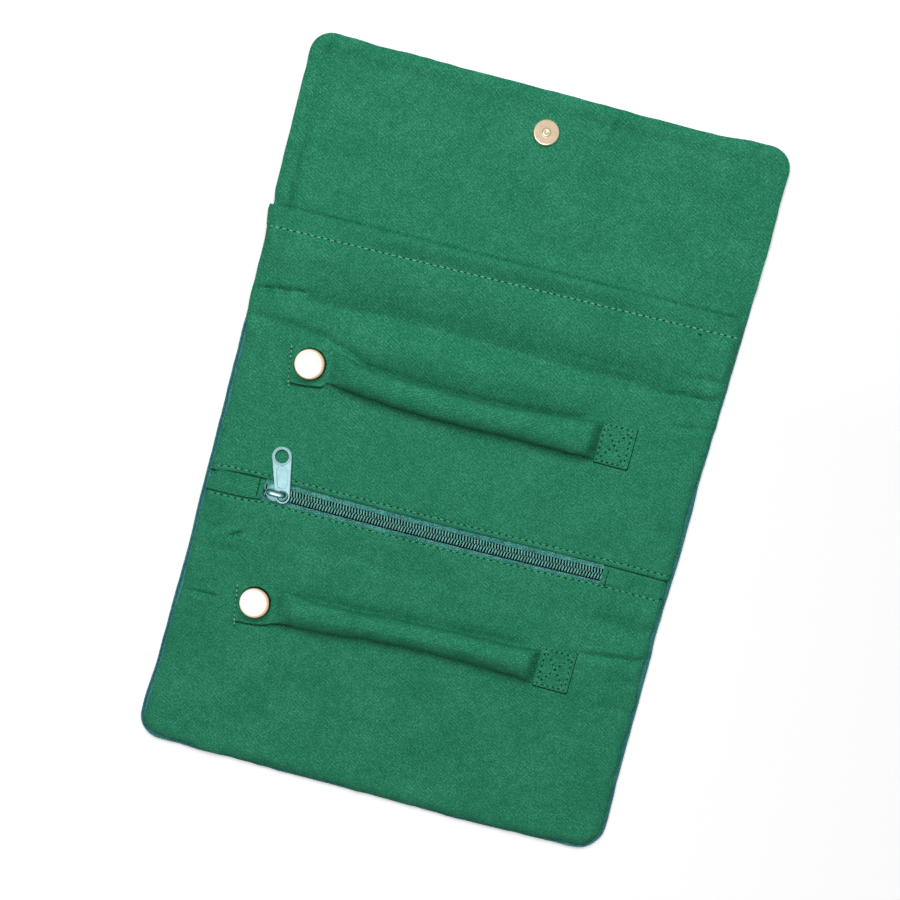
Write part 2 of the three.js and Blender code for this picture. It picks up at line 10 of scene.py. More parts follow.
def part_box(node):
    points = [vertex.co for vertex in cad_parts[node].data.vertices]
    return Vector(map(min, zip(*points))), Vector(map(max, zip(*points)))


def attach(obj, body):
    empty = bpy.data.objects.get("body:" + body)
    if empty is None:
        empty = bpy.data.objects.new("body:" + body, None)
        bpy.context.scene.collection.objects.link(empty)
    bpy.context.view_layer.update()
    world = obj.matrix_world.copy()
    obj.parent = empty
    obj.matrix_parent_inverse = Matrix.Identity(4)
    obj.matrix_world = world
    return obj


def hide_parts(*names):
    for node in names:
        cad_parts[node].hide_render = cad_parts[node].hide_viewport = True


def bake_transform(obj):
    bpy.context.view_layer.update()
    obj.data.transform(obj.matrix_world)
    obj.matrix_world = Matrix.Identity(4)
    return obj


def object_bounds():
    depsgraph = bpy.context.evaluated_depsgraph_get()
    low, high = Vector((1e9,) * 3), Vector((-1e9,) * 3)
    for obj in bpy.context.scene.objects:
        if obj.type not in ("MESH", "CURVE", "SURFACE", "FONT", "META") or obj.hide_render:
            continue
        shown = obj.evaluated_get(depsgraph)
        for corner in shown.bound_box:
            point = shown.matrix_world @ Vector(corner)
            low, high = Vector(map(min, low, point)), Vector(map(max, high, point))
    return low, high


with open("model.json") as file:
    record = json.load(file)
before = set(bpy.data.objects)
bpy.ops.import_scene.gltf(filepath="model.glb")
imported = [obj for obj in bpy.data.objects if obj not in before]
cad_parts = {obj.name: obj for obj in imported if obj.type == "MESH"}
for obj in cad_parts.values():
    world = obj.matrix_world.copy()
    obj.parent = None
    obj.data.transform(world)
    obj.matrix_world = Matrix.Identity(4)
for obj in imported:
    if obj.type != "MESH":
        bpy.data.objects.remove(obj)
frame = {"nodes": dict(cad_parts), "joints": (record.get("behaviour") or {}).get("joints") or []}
cad_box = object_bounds()

# Every length below is in millimetres in the frame's axes, and MM turns it into metres.
MM = 0.001
CLOTH_MAP = "cloth"


def node_box(node):
    """Lowest and highest corner of a node of the frame, in millimetres."""
    low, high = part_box(node)
    return np.array(low) / MM, np.array(high) / MM


def node_middle(node):
    low, high = node_box(node)
    return (low + high) / 2


JOINTS = {joint["name"]: np.array(joint["pos_m"]) / MM for joint in frame["joints"] if "pos_m" in joint}

# Places that the frame gives.
HALF_WIDTH = cad_box[1][0] / MM
HALF_LENGTH = cad_box[1][1] / MM
UPPER_FOLD = JOINTS["upper_fold"][1]
LOWER_FOLD = JOINTS["lower_fold"][1]
ZIP_LINE = JOINTS["puller_swing"][1]
WINDOW_TOP = node_box("slip_pocket_panel_back")[0][1]
WINDOW_BOTTOM = node_box("zip_pocket_panel_back")[1][1]
WINDOW_LEFT = node_box("zip_end_tab_left")[1][0]
WINDOW_RIGHT = node_box("zip_end_tab_right")[0][0]
POCKET_MOUTH = node_box("slip_pocket_panel_flap")[1][1]
PANEL_LEVEL = node_box("slip_pocket_panel_back")[1][2]
LINING_LEVEL = node_box("flap_lining")[1][2]
TAPE_LEVEL = node_box("zip_tape_upper")[1][2]
MAGNET_PLATE = node_middle("magnet_plate")
MAGNET_CASE = node_middle("magnet_case")
UPPER_SNAP = node_middle("upper_snap_cap")
LOWER_SNAP = node_middle("lower_snap_cap")

# Cloth sizes.
CORNER_RADIUS = 11.0
COVER_THICK = 0.7
CLOTH_THICK = 0.45
COVER_CURL = 1.35
COVER_CURL_TURN = math.radians(150)
EDGE_ROUND = 3.4
COVER_CUT = -8.0
COVER_GROWN = COVER_CURL * COVER_CURL_TURN - COVER_CURL
CASE_HOLE = 6.2
PADDING_INSET = 3.0
GRID_STEP = 1.2
HEM_DEPTH = 10.0
HEM_GAP = 1.0
TURNING_DEPTH = 4.0
TURNING_GAP = 0.8
# How far the stitches lie from the zip pocket's upper edge.
LOWER_TOPSTITCH = 0.95

# Each layer of the roll is cut in two halves across the back. bodies names the two bodies of a half, and
# bend the band about its fold, which nothing reads.
HALVES = {
    "upper": {"bodies": ("back", "flap"), "bend": (UPPER_FOLD - 13.0, UPPER_FOLD + 13.0)},
    "lower": {"bodies": ("front", "back"), "bend": (LOWER_FOLD - 9.0, LOWER_FOLD + 9.0)},
}

# How far each side edge wanders from a straight line: y, then the shift along x.
LEFT_WANDER = [(174, 0.4), (155, 0.0), (98, 0.0), (91, 0.9), (86, 0.3), (72, 0.9), (45, 0.8), (0, 0.6),
               (-60, 0.5), (-80, 0.6), (-105, 0.0), (-135, -0.7), (-160, -2.1), (-174, -1.8)]
RIGHT_WANDER = [(174, -0.6), (150, 0.4), (130, 0.9), (75, 0.7), (45, 0.3), (20, -0.3), (-5, 0.4),
                (-25, 0.4), (-60, -0.3), (-85, 0.4), (-130, 0.7), (-160, 1.6), (-174, 0.6)]
# How far the top and the bottom edge lie from straight.
TOP_SHIFT = -0.5
BOTTOM_SHIFT = -1.7
WANDER_REACH = 35.0
# How far the cloth pushes out of a rounded corner: the corner's side and end, then x and y.
CORNER_PUSH = [(1, 1, 1.5, 0.9), (-1, 1, -0.6, 0.5), (1, -1, -0.6, 0.3)]
CORNER_REACH = 9.0

# Creases in the cloth: from x, y to x, y, half width, depth (a ridge where it is negative).
CREASES = [
    (34.9, 178, 31.4, 154, 1.2, 3.20),
    (-59, 178, -62, 160, 1.7, 1.50),
    (-20, 178, -21, 158, 2.0, 1.40),
    (-76, 174, -78, 154, 2.6, 1.00),
    (-105.8, 122, -105.2, 84, 1.2, 3.20),
    (102.4, 106, 101.4, 89, 1.0, 2.60),
    (-122, 47.2, -103, 52.0, 1.0, 2.60),
    (-109, 50.9, -86, 54.2, 1.0, 2.40),
    (-97, 47.0, -72, 47.2, 0.7, 0.50),
    (122, 62.6, 90, 61.0, 1.5, 1.70),
    (122, 54.8, 82, 50.6, 1.2, 1.90),
    (122, 41.4, 92, 35.8, 1.3, 1.60),
    (26, 57.0, 80, 58.6, 0.9, 0.70),
    (-122, 37.6, -70, 34.6, 2.5, 2.60),
    (-80, 36.0, -54, 28.6, 2.0, 2.40),
    (-97.4, -69.8, -89.2, -65.2, 0.9, 4.20),
    (-122, -68.0, -94, -65.5, 1.5, 1.10),
    (-122, -77.0, -82, -75.5, 1.7, 0.90),
    (68, -82.5, 122, -75.0, 1.4, 2.60),
    (99, -88, 122, -88, 1.5, 1.20),
    (-122, -100, -90, -99.4, 1.0, 2.20),
    (92, -103, 122, -101, 1.8, 0.90),
    (78, -63, 122, -62, 2.8, 1.50),
    (88, -13, 122, -13, 2.2, 0.80),
    (88, -31, 122, -31, 2.4, 0.60),
    (-122, 60, -66, 66, 4.5, 0.90),
    (48, 110, -4, 101, 4.0, 1.70),
    (-76, 107, -52, 103, 4.0, 1.30),
    (70, 152, 102, 122, 4.0, 1.20),
    (62, 142, 66, 120, 5.0, 1.00),
    (-50, -126, -58, -146, 7.0, 0.80),
    (-12, -125, 22, -127, 7.0, 0.80),
]


def smooth(t):
    """Goes from 0 to 1 with no corner as t does."""
    t = np.clip(t, 0.0, 1.0)
    return t * t * (3 - 2 * t)


def along(stops, t):
    """A smooth curve through (t, value) stops, which run down or up."""
    stops = sorted(stops)
    keys = np.array([stop[0] for stop in stops], float)
    values = np.array([stop[1] for stop in stops], float)
    spot = np.clip(np.searchsorted(keys, t, side="right") - 1, 0, len(keys) - 2)
    share = smooth((t - keys[spot]) / (keys[spot + 1] - keys[spot]))
    return values[spot] * (1 - share) + values[spot + 1] * share


def noise(x, y, cell, seed):
    """Smooth random heights from -1 to 1, one drawn for each cell's corner."""
    size = 64
    table = np.random.default_rng(seed).uniform(-1, 1, (size, size))
    column = np.floor(x / cell).astype(int)
    row = np.floor(y / cell).astype(int)
    across = smooth(x / cell - column)
    up = smooth(y / cell - row)
    left = table[column % size, row % size] * (1 - up) + table[column % size, (row + 1) % size] * up
    column = column + 1
    right = table[column % size, row % size] * (1 - up) + table[column % size, (row + 1) % size] * up
    return left * (1 - across) + right * across


# The shape of the roll as a whole.
def inside(x, y, grown=0.0):
    """Distance from the roll's rounded outline, counted inwards, and the way out of it."""
    radius = CORNER_RADIUS + grown
    over_x = np.abs(x) - (HALF_WIDTH + grown - radius)
    over_y = np.abs(y) - (HALF_LENGTH + grown - radius)
    corner = np.hypot(np.maximum(over_x, 0), np.maximum(over_y, 0))
    depth = radius - (corner + np.minimum(np.maximum(over_x, over_y), 0))
    round_part = (over_x > 0) & (over_y > 0)
    safe = np.maximum(corner, 1e-6)
    out_x = np.where(round_part, over_x / safe, (over_x >= over_y) * 1.0) * np.sign(x)
    out_y = np.where(round_part, over_y / safe, (over_x < over_y) * 1.0) * np.sign(y)
    return depth, out_x, out_y


def wander(x, y):
    """Where a point of the straight outline lies once the side edges wander and ripple."""
    left = along(LEFT_WANDER, y) + 0.22 * noise(y, y * 0 + 3, 6, 11)
    right = along(RIGHT_WANDER, y) + 0.22 * noise(y, y * 0 + 9, 6, 12)
    near_left = smooth((-x - HALF_WIDTH + WANDER_REACH) / WANDER_REACH)
    near_right = smooth((x - HALF_WIDTH + WANDER_REACH) / WANDER_REACH)
    near_ends = smooth((np.abs(y) - HALF_LENGTH + WANDER_REACH) / WANDER_REACH)
    ripple = (0.3 * noise(x, x * 0 + 5, 14, 13) + 0.25 * noise(x, x * 0 + 8, 5, 14)) * near_ends
    new_x = x + left * near_left + right * near_right
    top_shift = TOP_SHIFT + 1.7 * bump(x, 97, 14)
    bottom_shift = BOTTOM_SHIFT + 1.2 * smooth((x - 50) / 45)
    new_y = y + ripple + top_shift * smooth((y - 140) / 30) + bottom_shift * smooth((-y - 130) / 40)
    for side, end, push_x, push_y in CORNER_PUSH:
        away = np.hypot(x - side * (HALF_WIDTH - 3), y - end * (HALF_LENGTH - 3))
        near = np.exp(-(away / CORNER_REACH) ** 2)
        new_x = new_x + push_x * near
        new_y = new_y + push_y * near
    return new_x, new_y


def crease_depth(x, y):
    depth = np.zeros_like(x)
    for start_x, start_y, end_x, end_y, width, deep in CREASES:
        run = np.array([end_x - start_x, end_y - start_y])
        length = np.hypot(*run)
        part = ((x - start_x) * run[0] + (y - start_y) * run[1]) / length ** 2
        away = ((x - start_x) * run[1] - (y - start_y) * run[0]) / length / width
        fade = smooth(part / 0.2) * smooth((1 - part) / 0.2)
        depth += deep * fade * (np.exp(-away ** 2 / 2) - 0.45 * np.exp(-away ** 2 / 12))
    return depth


def bump(t, middle, reach):
    """A smooth hump of height 1."""
    return np.exp(-((t - middle) / reach) ** 2)


def sharp_valley(y, middle, reach_up, reach_down):
    """A valley of depth 1 that is steepest at its line, where the cloth was folded."""
    away = y - middle
    reach = np.where(away > 0, reach_up, reach_down)
    corner = 0.15
    return np.exp(corner - np.sqrt((away / reach) ** 2 + corner ** 2))


def rounded(stops, blur):
    """A function that runs through (place, value) stops, with its corners rounded off."""
    step = 0.2
    reach = 30
    places = np.array([stop[0] for stop in stops], float)
    values = np.array([stop[1] for stop in stops], float)
    fine = np.arange(places[0] - 10, places[-1] + 10, step)
    weights = np.exp(-(np.arange(-reach, reach + 1) * step / blur) ** 2)
    line = np.pad(np.interp(fine, places, values), reach, mode="edge")
    line = np.convolve(line, weights / weights.sum(), mode="valid")
    return lambda t: np.interp(t, fine, line)


# The upper fold seen from the side: y, then the height. The flap's foot stands up and falls into a valley.
FOLD_SHAPE = rounded([(40, 0.0), (45, -0.6), (48.5, -2.0), (51.0, -3.3), (54, -1.5), (57, 0.3), (60, 1.8),
                      (64, 3.3), (68, 4.3), (72, 4.7), (80, 4.4), (90, 3.3), (100, 1.5), (116, 0.0)], 0.9)

# The panel beside the upper bar, seen from the side: the way from the bar's upper edge, then the height.
TROUGH_SHAPE = rounded([(-30, 0.0), (-18, -0.5), (-12, -1.1), (-6, -2.0), (-1, -2.6), (0.3, -2.4),
                        (2.3, -0.4), (4, 0.5), (7, 1.7), (10, 2.6), (14, 3.0), (18, 2.3), (24, 0.5),
                        (30, 0.0)], 0.5)

# The cloth can't sink through the layers under it: a hollow deeper than the knee levels out.
SINK_KNEE = 2.3
SINK_REST = 1.0


# The thick seam inside the flap's edges and the hollow on its inner side: height, place, reach.
LEFT_SEAM = [(2.2, -109.8, 3.4), (-1.1, -103.6, 3.0)]
RIGHT_SEAM = [(2.0, 106.5, 4.0), (-1.3, 98.5, 4.0)]
TOP_SEAM = [(1.0, 169.6, 2.8), (-0.7, 164.0, 3.0)]


def humps(t, parts):
    return sum(height * bump(t, middle, reach) for height, middle, reach in parts)


def edge_ridges(x, y, depth):
    """The thick seam inside the edges, with a hollow beside it on the flap."""
    on_flap = smooth((y - 88) / 8)
    uneven = 1 + 0.35 * noise(x + y, y - x, 13, 6)
    flap = humps(x, LEFT_SEAM) + humps(x, RIGHT_SEAM) + humps(y, TOP_SEAM)
    pockets = np.maximum(0.7 * bump(depth, 5.5, 4.0), 0.8 * bump(y, -167.5, 4.5))
    return uneven * (on_flap * flap + (1 - on_flap) * pockets)


def bar_trough(x, y):
    """The panels sink under the ring bars, most of all along the bars' upper sides."""
    bars_left = -66
    bars_right = 62
    under = smooth((x - bars_left) / 18) * smooth((bars_right - x) / 14)
    upper_edge = 25.4 + (x + 10) ** 2 / 1000
    lower_line = -86.6 + 0.05 * x
    lower = 2.6 * sharp_valley(y, lower_line, 3.4, 9.0)
    return under * (lower - TROUGH_SHAPE(y - upper_edge))


def relief(x, y):
    """How far the lying cloth rises or sinks, in millimetres at the panels' level."""
    depth, _, _ = inside(x, y)
    height = 0.40 * noise(x, y, 46, 1) + 0.24 * noise(x, y, 19, 2) + 0.10 * noise(x, y * 1.6, 8, 3)
    height += edge_ridges(x, y, depth)
    fold_share = (0.55 + 0.45 * smooth((x + 100) / 45)) * (1 - 0.6 * smooth((x - 66) / 30))
    height += fold_share * FOLD_SHAPE(y - 1.0 * noise(x, x * 0 + 2, 40, 4))
    height -= 0.4 * bump(y, hem_line(x) + 0.2, 1.6)
    valley_line = LOWER_FOLD + 5.5 + 1.0 * noise(x, x * 0 + 7, 36, 5)
    height -= 0.8 * sharp_valley(y, valley_line, 5.0, 4.0)
    height += 0.25 * bump(y, LOWER_FOLD + 0.5, 3.5)
    height += 0.4 * bump(y, WINDOW_BOTTOM - 6, 3.5)
    height -= crease_depth(x, y) + bar_trough(x, y)
    for spot, reach in FLAT_SPOTS:
        away = np.hypot(x - spot[0], y - spot[1])
        height = height * smooth(away / reach - 0.5)
    height = height * smooth(depth / 4.0)
    levelled = -SINK_KNEE - SINK_REST * (1 - np.exp((height + SINK_KNEE) / SINK_REST))
    return np.where(height < -SINK_KNEE, levelled, height)


# Where the cloth is held flat: at the fittings and at the bars' sewn ends, with the reach of that.
FLAT_SPOTS = [(MAGNET_PLATE, 9.0), (UPPER_SNAP, 10.0), (LOWER_SNAP, 10.0),
              (JOINTS["upper_bar_lift"] + [9, 0, 0], 14.0), (JOINTS["lower_bar_lift"] + [9, 0, 0], 14.0)]


def mouth_tilt(x):
    """The pocket's mouth climbs a little to the right."""
    return 3.8 * (x + HALF_WIDTH) / (2 * HALF_WIDTH)


def hem_line(x):
    return POCKET_MOUTH - HEM_DEPTH + 1.35 * mouth_tilt(x)


# The zip bows a little: its line and the two edges of its window climb to the right.
def zip_bow(x):
    return np.clip(x + 60, 0, 140) ** 2 * 1e-4


def zip_line(x):
    return ZIP_LINE - 0.1 + 1.2 * zip_bow(x)


def window_top(x):
    """The upper edge, which dips to the left of the window."""
    return WINDOW_TOP - 0.8 + 1.05 * zip_bow(x) - 0.003 * np.maximum(WINDOW_LEFT - x, 0) ** 2


def window_bottom(x):
    """The lower edge, which dips to the left of the window too."""
    return WINDOW_BOTTOM - 0.3 + 1.6 * zip_bow(x) - 1.7 * (1 - np.exp(-np.maximum(WINDOW_LEFT - x, 0) / 7))


def upper_topstitch(x):
    """How far the stitches lie from the upper edge: they come closer beside the window's left end."""
    return 2.5 - 0.9 * bump(x, WINDOW_LEFT - 4, 13)


def lip(away, stitch):
    """The rise of a topstitched edge: a puffed lip, then a groove along the stitches."""
    puff = 0.22 * np.exp(-((away - stitch * 0.5) / 0.8) ** 2)
    groove = 0.40 * np.exp(-((away - stitch) / 0.65) ** 2)
    return puff - groove


# How wide the cover shows beside the lining, at the left, the right and the bottom edge.
LEFT_STRIP = 2.5
RIGHT_STRIP = 2.2
BOTTOM_STRIP = 1.3


def green_inset(x, y):
    """How far the lining side stops short of the cover's edge, so that the cover shows beside it."""
    left = smooth((44 - y) / 20) * smooth((-x - 60) / 50)
    right = smooth((112 - y) / 20) * (1 - 0.45 * smooth(y / 20)) * smooth((x - 60) / 50)
    bottom = smooth((-y - 160) / 8) * smooth((95 - np.abs(x - 5)) / 20)
    ripple = 0.25 * noise(x + y, y - x, 9, 21)
    strip = np.maximum(np.maximum(left * LEFT_STRIP, right * RIGHT_STRIP), bottom * BOTTOM_STRIP)
    return strip * (1 + ripple) - 0.15


def lining_side(x, y, level, seam_level):
    """A point of a layer on the lining's side: it lies flat, and turns down to the seam at the edges."""
    depth, out_x, out_y = inside(x, y)
    rise = np.sqrt(1 - (1 - np.clip(depth / EDGE_ROUND, 0, 1)) ** 2)
    height = (seam_level + (level - seam_level) * rise) * (1 + relief(x, y) / PANEL_LEVEL)
    shift = green_inset(x, y) * (1 - smooth(depth / 9))
    flat_x, flat_y = wander(x - out_x * shift, y - out_y * shift)
    return np.stack([flat_x, flat_y, height], axis=-1)


PANEL_SEAM = 2.8
LINING_SEAM = 2.5


def panel_spot(x, y, lift=0.0):
    """A point on the upper face of the pocket panels."""
    spot = lining_side(np.asarray(x, float), np.asarray(y, float), PANEL_LEVEL, PANEL_SEAM)
    spot[..., 2] += lift
    return spot


# Mesh helpers.
def make_piece(name, vertices, faces, material, cloth_map=None, sharp=50, second=None):
    """A smooth-shaded piece from points in millimetres, with an optional map of the flat cloth.

    second gives another material and the first of the faces, to the end of the list, that wear it.
    """
    mesh = bpy.data.meshes.new(name)
    mesh.from_pydata((np.asarray(vertices, float) * MM).tolist(), [], faces)
    work = bmesh.new()
    work.from_mesh(mesh)
    bmesh.ops.recalc_face_normals(work, faces=work.faces)
    work.to_mesh(mesh)
    work.free()
    if cloth_map is not None:
        corner = np.zeros(len(mesh.loops), np.int32)
        mesh.loops.foreach_get("vertex_index", corner)
        layer = mesh.uv_layers.new(name=CLOTH_MAP)
        layer.uv.foreach_set("vector", np.asarray(cloth_map, np.float32)[corner].ravel())
    mesh.polygons.foreach_set("use_smooth", np.ones(len(mesh.polygons), bool))
    mesh.set_sharp_from_angle(angle=math.radians(sharp))
    mesh.materials.append(material)
    if second is not None:
        mesh.materials.append(second[0])
        wears = (np.arange(len(mesh.polygons)) >= second[1]).astype(np.int32)
        mesh.polygons.foreach_set("material_index", wears)
    piece = bpy.data.objects.new(name, mesh)
    bpy.context.scene.collection.objects.link(piece)
    return piece


def grid_faces(rows, columns, closed=False):
    """Four-sided faces of a grid of points, which may close on itself across its columns."""
    last = columns if closed else columns - 1
    row, column = np.meshgrid(np.arange(rows - 1), np.arange(last), indexing="ij")
    beside = (column + 1) % columns
    quads = np.stack([row * columns + column, row * columns + beside,
                      (row + 1) * columns + beside, (row + 1) * columns + column], axis=-1)
    return quads.reshape(-1, 4)


def tube_faces(rings, sides):
    """Faces of a tube made of rings, with both ends closed."""
    faces = grid_faces(rings, sides, closed=True).tolist()
    faces.append(list(range(sides)))
    faces.append(list(range((rings - 1) * sides, rings * sides)))
    return faces


def joined(*parts):
    """Several (points, faces) as one."""
    points = []
    faces = []
    first = 0
    for part_points, part_faces in parts:
        points.append(np.asarray(part_points, float).reshape(-1, 3))
        faces.extend([[corner + first for corner in face] for face in part_faces])
        first += len(points[-1])
    return np.concatenate(points), faces


def sheet_piece(name, face, flat, thick, material, keep=None, facing=1):
    """A closed sheet: face holds its outer points by row and column, and thick lies behind them."""
    rows, columns = face.shape[:2]
    normal = np.cross(np.gradient(face, axis=1), np.gradient(face, axis=0))
    normal /= np.maximum(np.linalg.norm(normal, axis=-1, keepdims=True), 1e-9)
    if normal[..., 2].sum() * facing < 0:
        normal = -normal
    behind = face - normal * thick
    points = np.concatenate([face.reshape(-1, 3), behind.reshape(-1, 3)])
    quads = grid_faces(rows, columns)
    if keep is not None:
        quads = quads[keep.reshape(-1)]
    back = quads[:, ::-1] + rows * columns
    sides = np.concatenate([quads[:, [k, (k + 1) % 4]] for k in range(4)])
    order = np.sort(sides, axis=1)
    _, first, uses = np.unique(order, axis=0, return_index=True, return_counts=True)
    rim = sides[first[uses == 1]]
    rim_quads = np.concatenate([rim[:, ::-1], rim + rows * columns], axis=1)
    faces = np.concatenate([quads, back, rim_quads])
    used, place = np.unique(faces, return_inverse=True)
    cloth_map = np.concatenate([flat.reshape(-1, 2)] * 2)[used]
    return make_piece(name, points[used], place.reshape(-1, 4).tolist(), material, cloth_map)


def sweep(path, radius, sides=8, reference=(0, 0, 1), squash=1.0):
    """A rod with closed ends along a path of points; radius is one value or one for each point."""
    path = np.asarray(path, float)
    radius = np.broadcast_to(np.asarray(radius, float), len(path))
    heading = np.gradient(path, axis=0)
    heading /= np.linalg.norm(heading, axis=1, keepdims=True)
    side = np.cross(heading, np.asarray(reference, float))
    side /= np.linalg.norm(side, axis=1, keepdims=True)
    up = np.cross(side, heading)
    turn = np.linspace(0, 2 * math.pi, sides, endpoint=False)
    ring = np.cos(turn)[None, :, None] * side[:, None] + squash * np.sin(turn)[None, :, None] * up[:, None]
    points = path[:, None] + ring * radius[:, None, None]
    return points.reshape(-1, 3), tube_faces(len(path), sides)


def lathe(profile, centre, sides=72):
    """A turned solid from (radius, height) points; the first and last lie on its axis."""
    profile = np.asarray(profile, float)
    turn = np.linspace(0, 2 * math.pi, sides, endpoint=False)
    ring = np.stack([np.cos(turn), np.sin(turn)], axis=-1)
    middle = profile[1:-1]
    flat = middle[:, None, :1] * ring[None] + np.asarray(centre[:2])
    height = np.broadcast_to(middle[:, None, 1:], (len(middle), sides, 1))
    points = np.concatenate([flat, height], axis=-1).reshape(-1, 3)
    ends = [[centre[0], centre[1], profile[0, 1]], [centre[0], centre[1], profile[-1, 1]]]
    points = np.concatenate([points, ends])
    faces = grid_faces(len(middle), sides, closed=True).tolist()
    top = len(points) - 2
    foot = (len(middle) - 1) * sides
    for k in range(sides):
        beside = (k + 1) % sides
        faces.append([top, beside, k])
        faces.append([top + 1, foot + k, foot + beside])
    return points, faces


def arc(centre, radius, start, end, count):
    """Points of an arc, from start to end in degrees."""
    turn = np.radians(np.linspace(start, end, count))
    return np.stack([centre[0] + radius * np.cos(turn), centre[1] + radius * np.sin(turn)], axis=-1)


def spread(low, high, step, fine=()):
    """Places from low to high about a step apart, closer at both ends where fine lists offsets."""
    fine = np.asarray(fine, float)
    inset = fine[-1] + step if len(fine) else 0.0
    count = max(2, int(round((high - low - 2 * inset) / step)) + 1)
    return np.concatenate([low + fine, np.linspace(low + inset, high - inset, count), (high - fine)[::-1]])


# Materials. Colours are given in screen values from 0 to 255.
def new_material(name):
    material = bpy.data.materials.new(name)
    material.use_nodes = True
    tree = material.node_tree
    return material, tree, tree.nodes["Principled BSDF"]


def feed(tree, node, inputs):
    """Gives a node's sockets values or other nodes' outputs; i0, i1 and so on are sockets by number."""
    for key, value in inputs.items():
        socket = node.inputs[int(key[1:])] if key[0] == "i" and key[1:].isdigit() else node.inputs[key]
        if isinstance(value, bpy.types.NodeSocket):
            tree.links.new(value, socket)
        else:
            socket.default_value = value


def add_node(tree, kind, settings=None, **inputs):
    node = tree.nodes.new(kind)
    for key, value in (settings or {}).items():
        setattr(node, key, value)
    feed(tree, node, inputs)
    return node


def maths(tree, operation, first, second=0.0, third=0.0):
    settings = {"operation": operation}
    return add_node(tree, "ShaderNodeMath", settings, i0=first, i1=second, i2=third).outputs[0]


def dot(tree, vector, direction):
    """How far a vector reaches along a direction."""
    settings = {"operation": "DOT_PRODUCT"}
    return add_node(tree, "ShaderNodeVectorMath", settings, i0=vector, i1=direction).outputs["Value"]


def noise_node(tree, vector, scale, detail=2.0):
    return add_node(tree, "ShaderNodeTexNoise", Vector=vector, Scale=scale, Detail=detail).outputs["Fac"]


def bump_node(tree, height, strength, distance):
    node = add_node(tree, "ShaderNodeBump", Height=height, Strength=strength, Distance=distance)
    return node.outputs["Normal"]


def linear(red, green, blue):
    """A colour as light."""
    parts = np.array([red, green, blue]) / 255
    return tuple(np.where(parts <= 0.04045, parts / 12.92, ((parts + 0.055) / 1.055) ** 2.4).tolist())


def ramp(tree, factor, stops):
    """A colour ramp through (place, colour) stops."""
    node = add_node(tree, "ShaderNodeValToRGB", Fac=factor)
    for extra in range(len(stops) - 2):
        node.color_ramp.elements.new(0.5)
    for element, (place, colour) in zip(node.color_ramp.elements, stops):
        element.position = place
        element.color = (*linear(*colour), 1.0)
    return node.outputs["Color"]


def woven(name, shade, colour, shine, wale=(0.498, 0.865), pitch=1.3, float_length=0.9, relief_strength=0.5,
          grain=1.0, speck=1.3):
    """Woven cloth: diagonal ridges broken into short floats, fibre specks and slow changes of shade."""
    material, tree, shader = new_material(name)
    place = add_node(tree, "ShaderNodeUVMap", {"uv_map": CLOTH_MAP}).outputs["UV"]
    blotch = noise_node(tree, place, 0.045, 3.0)
    slub = noise_node(tree, place, 0.24)
    ridge_way = dot(tree, place, (wale[0], wale[1], 0))
    float_way = dot(tree, place, (wale[1], -wale[0], 0))
    strand = add_node(tree, "ShaderNodeCombineXYZ", i0=maths(tree, "MULTIPLY", float_way, 0.8), i1=ridge_way)
    fibre = noise_node(tree, strand.outputs["Vector"], speck)
    wobble = maths(tree, "MULTIPLY", noise_node(tree, place, 0.5), 1.2)
    ridge_phase = maths(tree, "ADD", maths(tree, "DIVIDE", ridge_way, pitch), wobble)
    ridge = maths(tree, "SINE", maths(tree, "MULTIPLY", ridge_phase, 2 * math.pi))
    stagger = maths(tree, "MULTIPLY", maths(tree, "FLOOR", ridge_phase), 0.37)
    float_phase = maths(tree, "ADD", maths(tree, "DIVIDE", float_way, float_length), stagger)
    floats = maths(tree, "SINE", maths(tree, "MULTIPLY", float_phase, 2 * math.pi))
    weave = maths(tree, "MULTIPLY_ADD", floats, 0.22, maths(tree, "MULTIPLY_ADD", ridge, 0.5, 0.5))
    tone = 0.5
    for part, share in ((weave, 0.12 * grain), (fibre, 1.3 * grain), (slub, 0.35 * grain), (blotch, 0.3)):
        tone = maths(tree, "MULTIPLY_ADD", maths(tree, "SUBTRACT", part, 0.5), share, tone)
    height = maths(tree, "MULTIPLY_ADD", fibre, 0.9, weave)
    feed(tree, shader, {
        "Base Color": ramp(tree, tone, [(0.0, shade), (0.5, colour), (1.0, shine)]),
        "Roughness": maths(tree, "MULTIPLY_ADD", fibre, 0.2, 0.72),
        "Sheen Weight": 0.06,
        "Sheen Roughness": 0.5,
        "Sheen Tint": (*linear(*shine), 1.0),
        "Specular IOR Level": 0.1,
        "Normal": bump_node(tree, height, relief_strength, 0.18 * MM),
    })
    return material


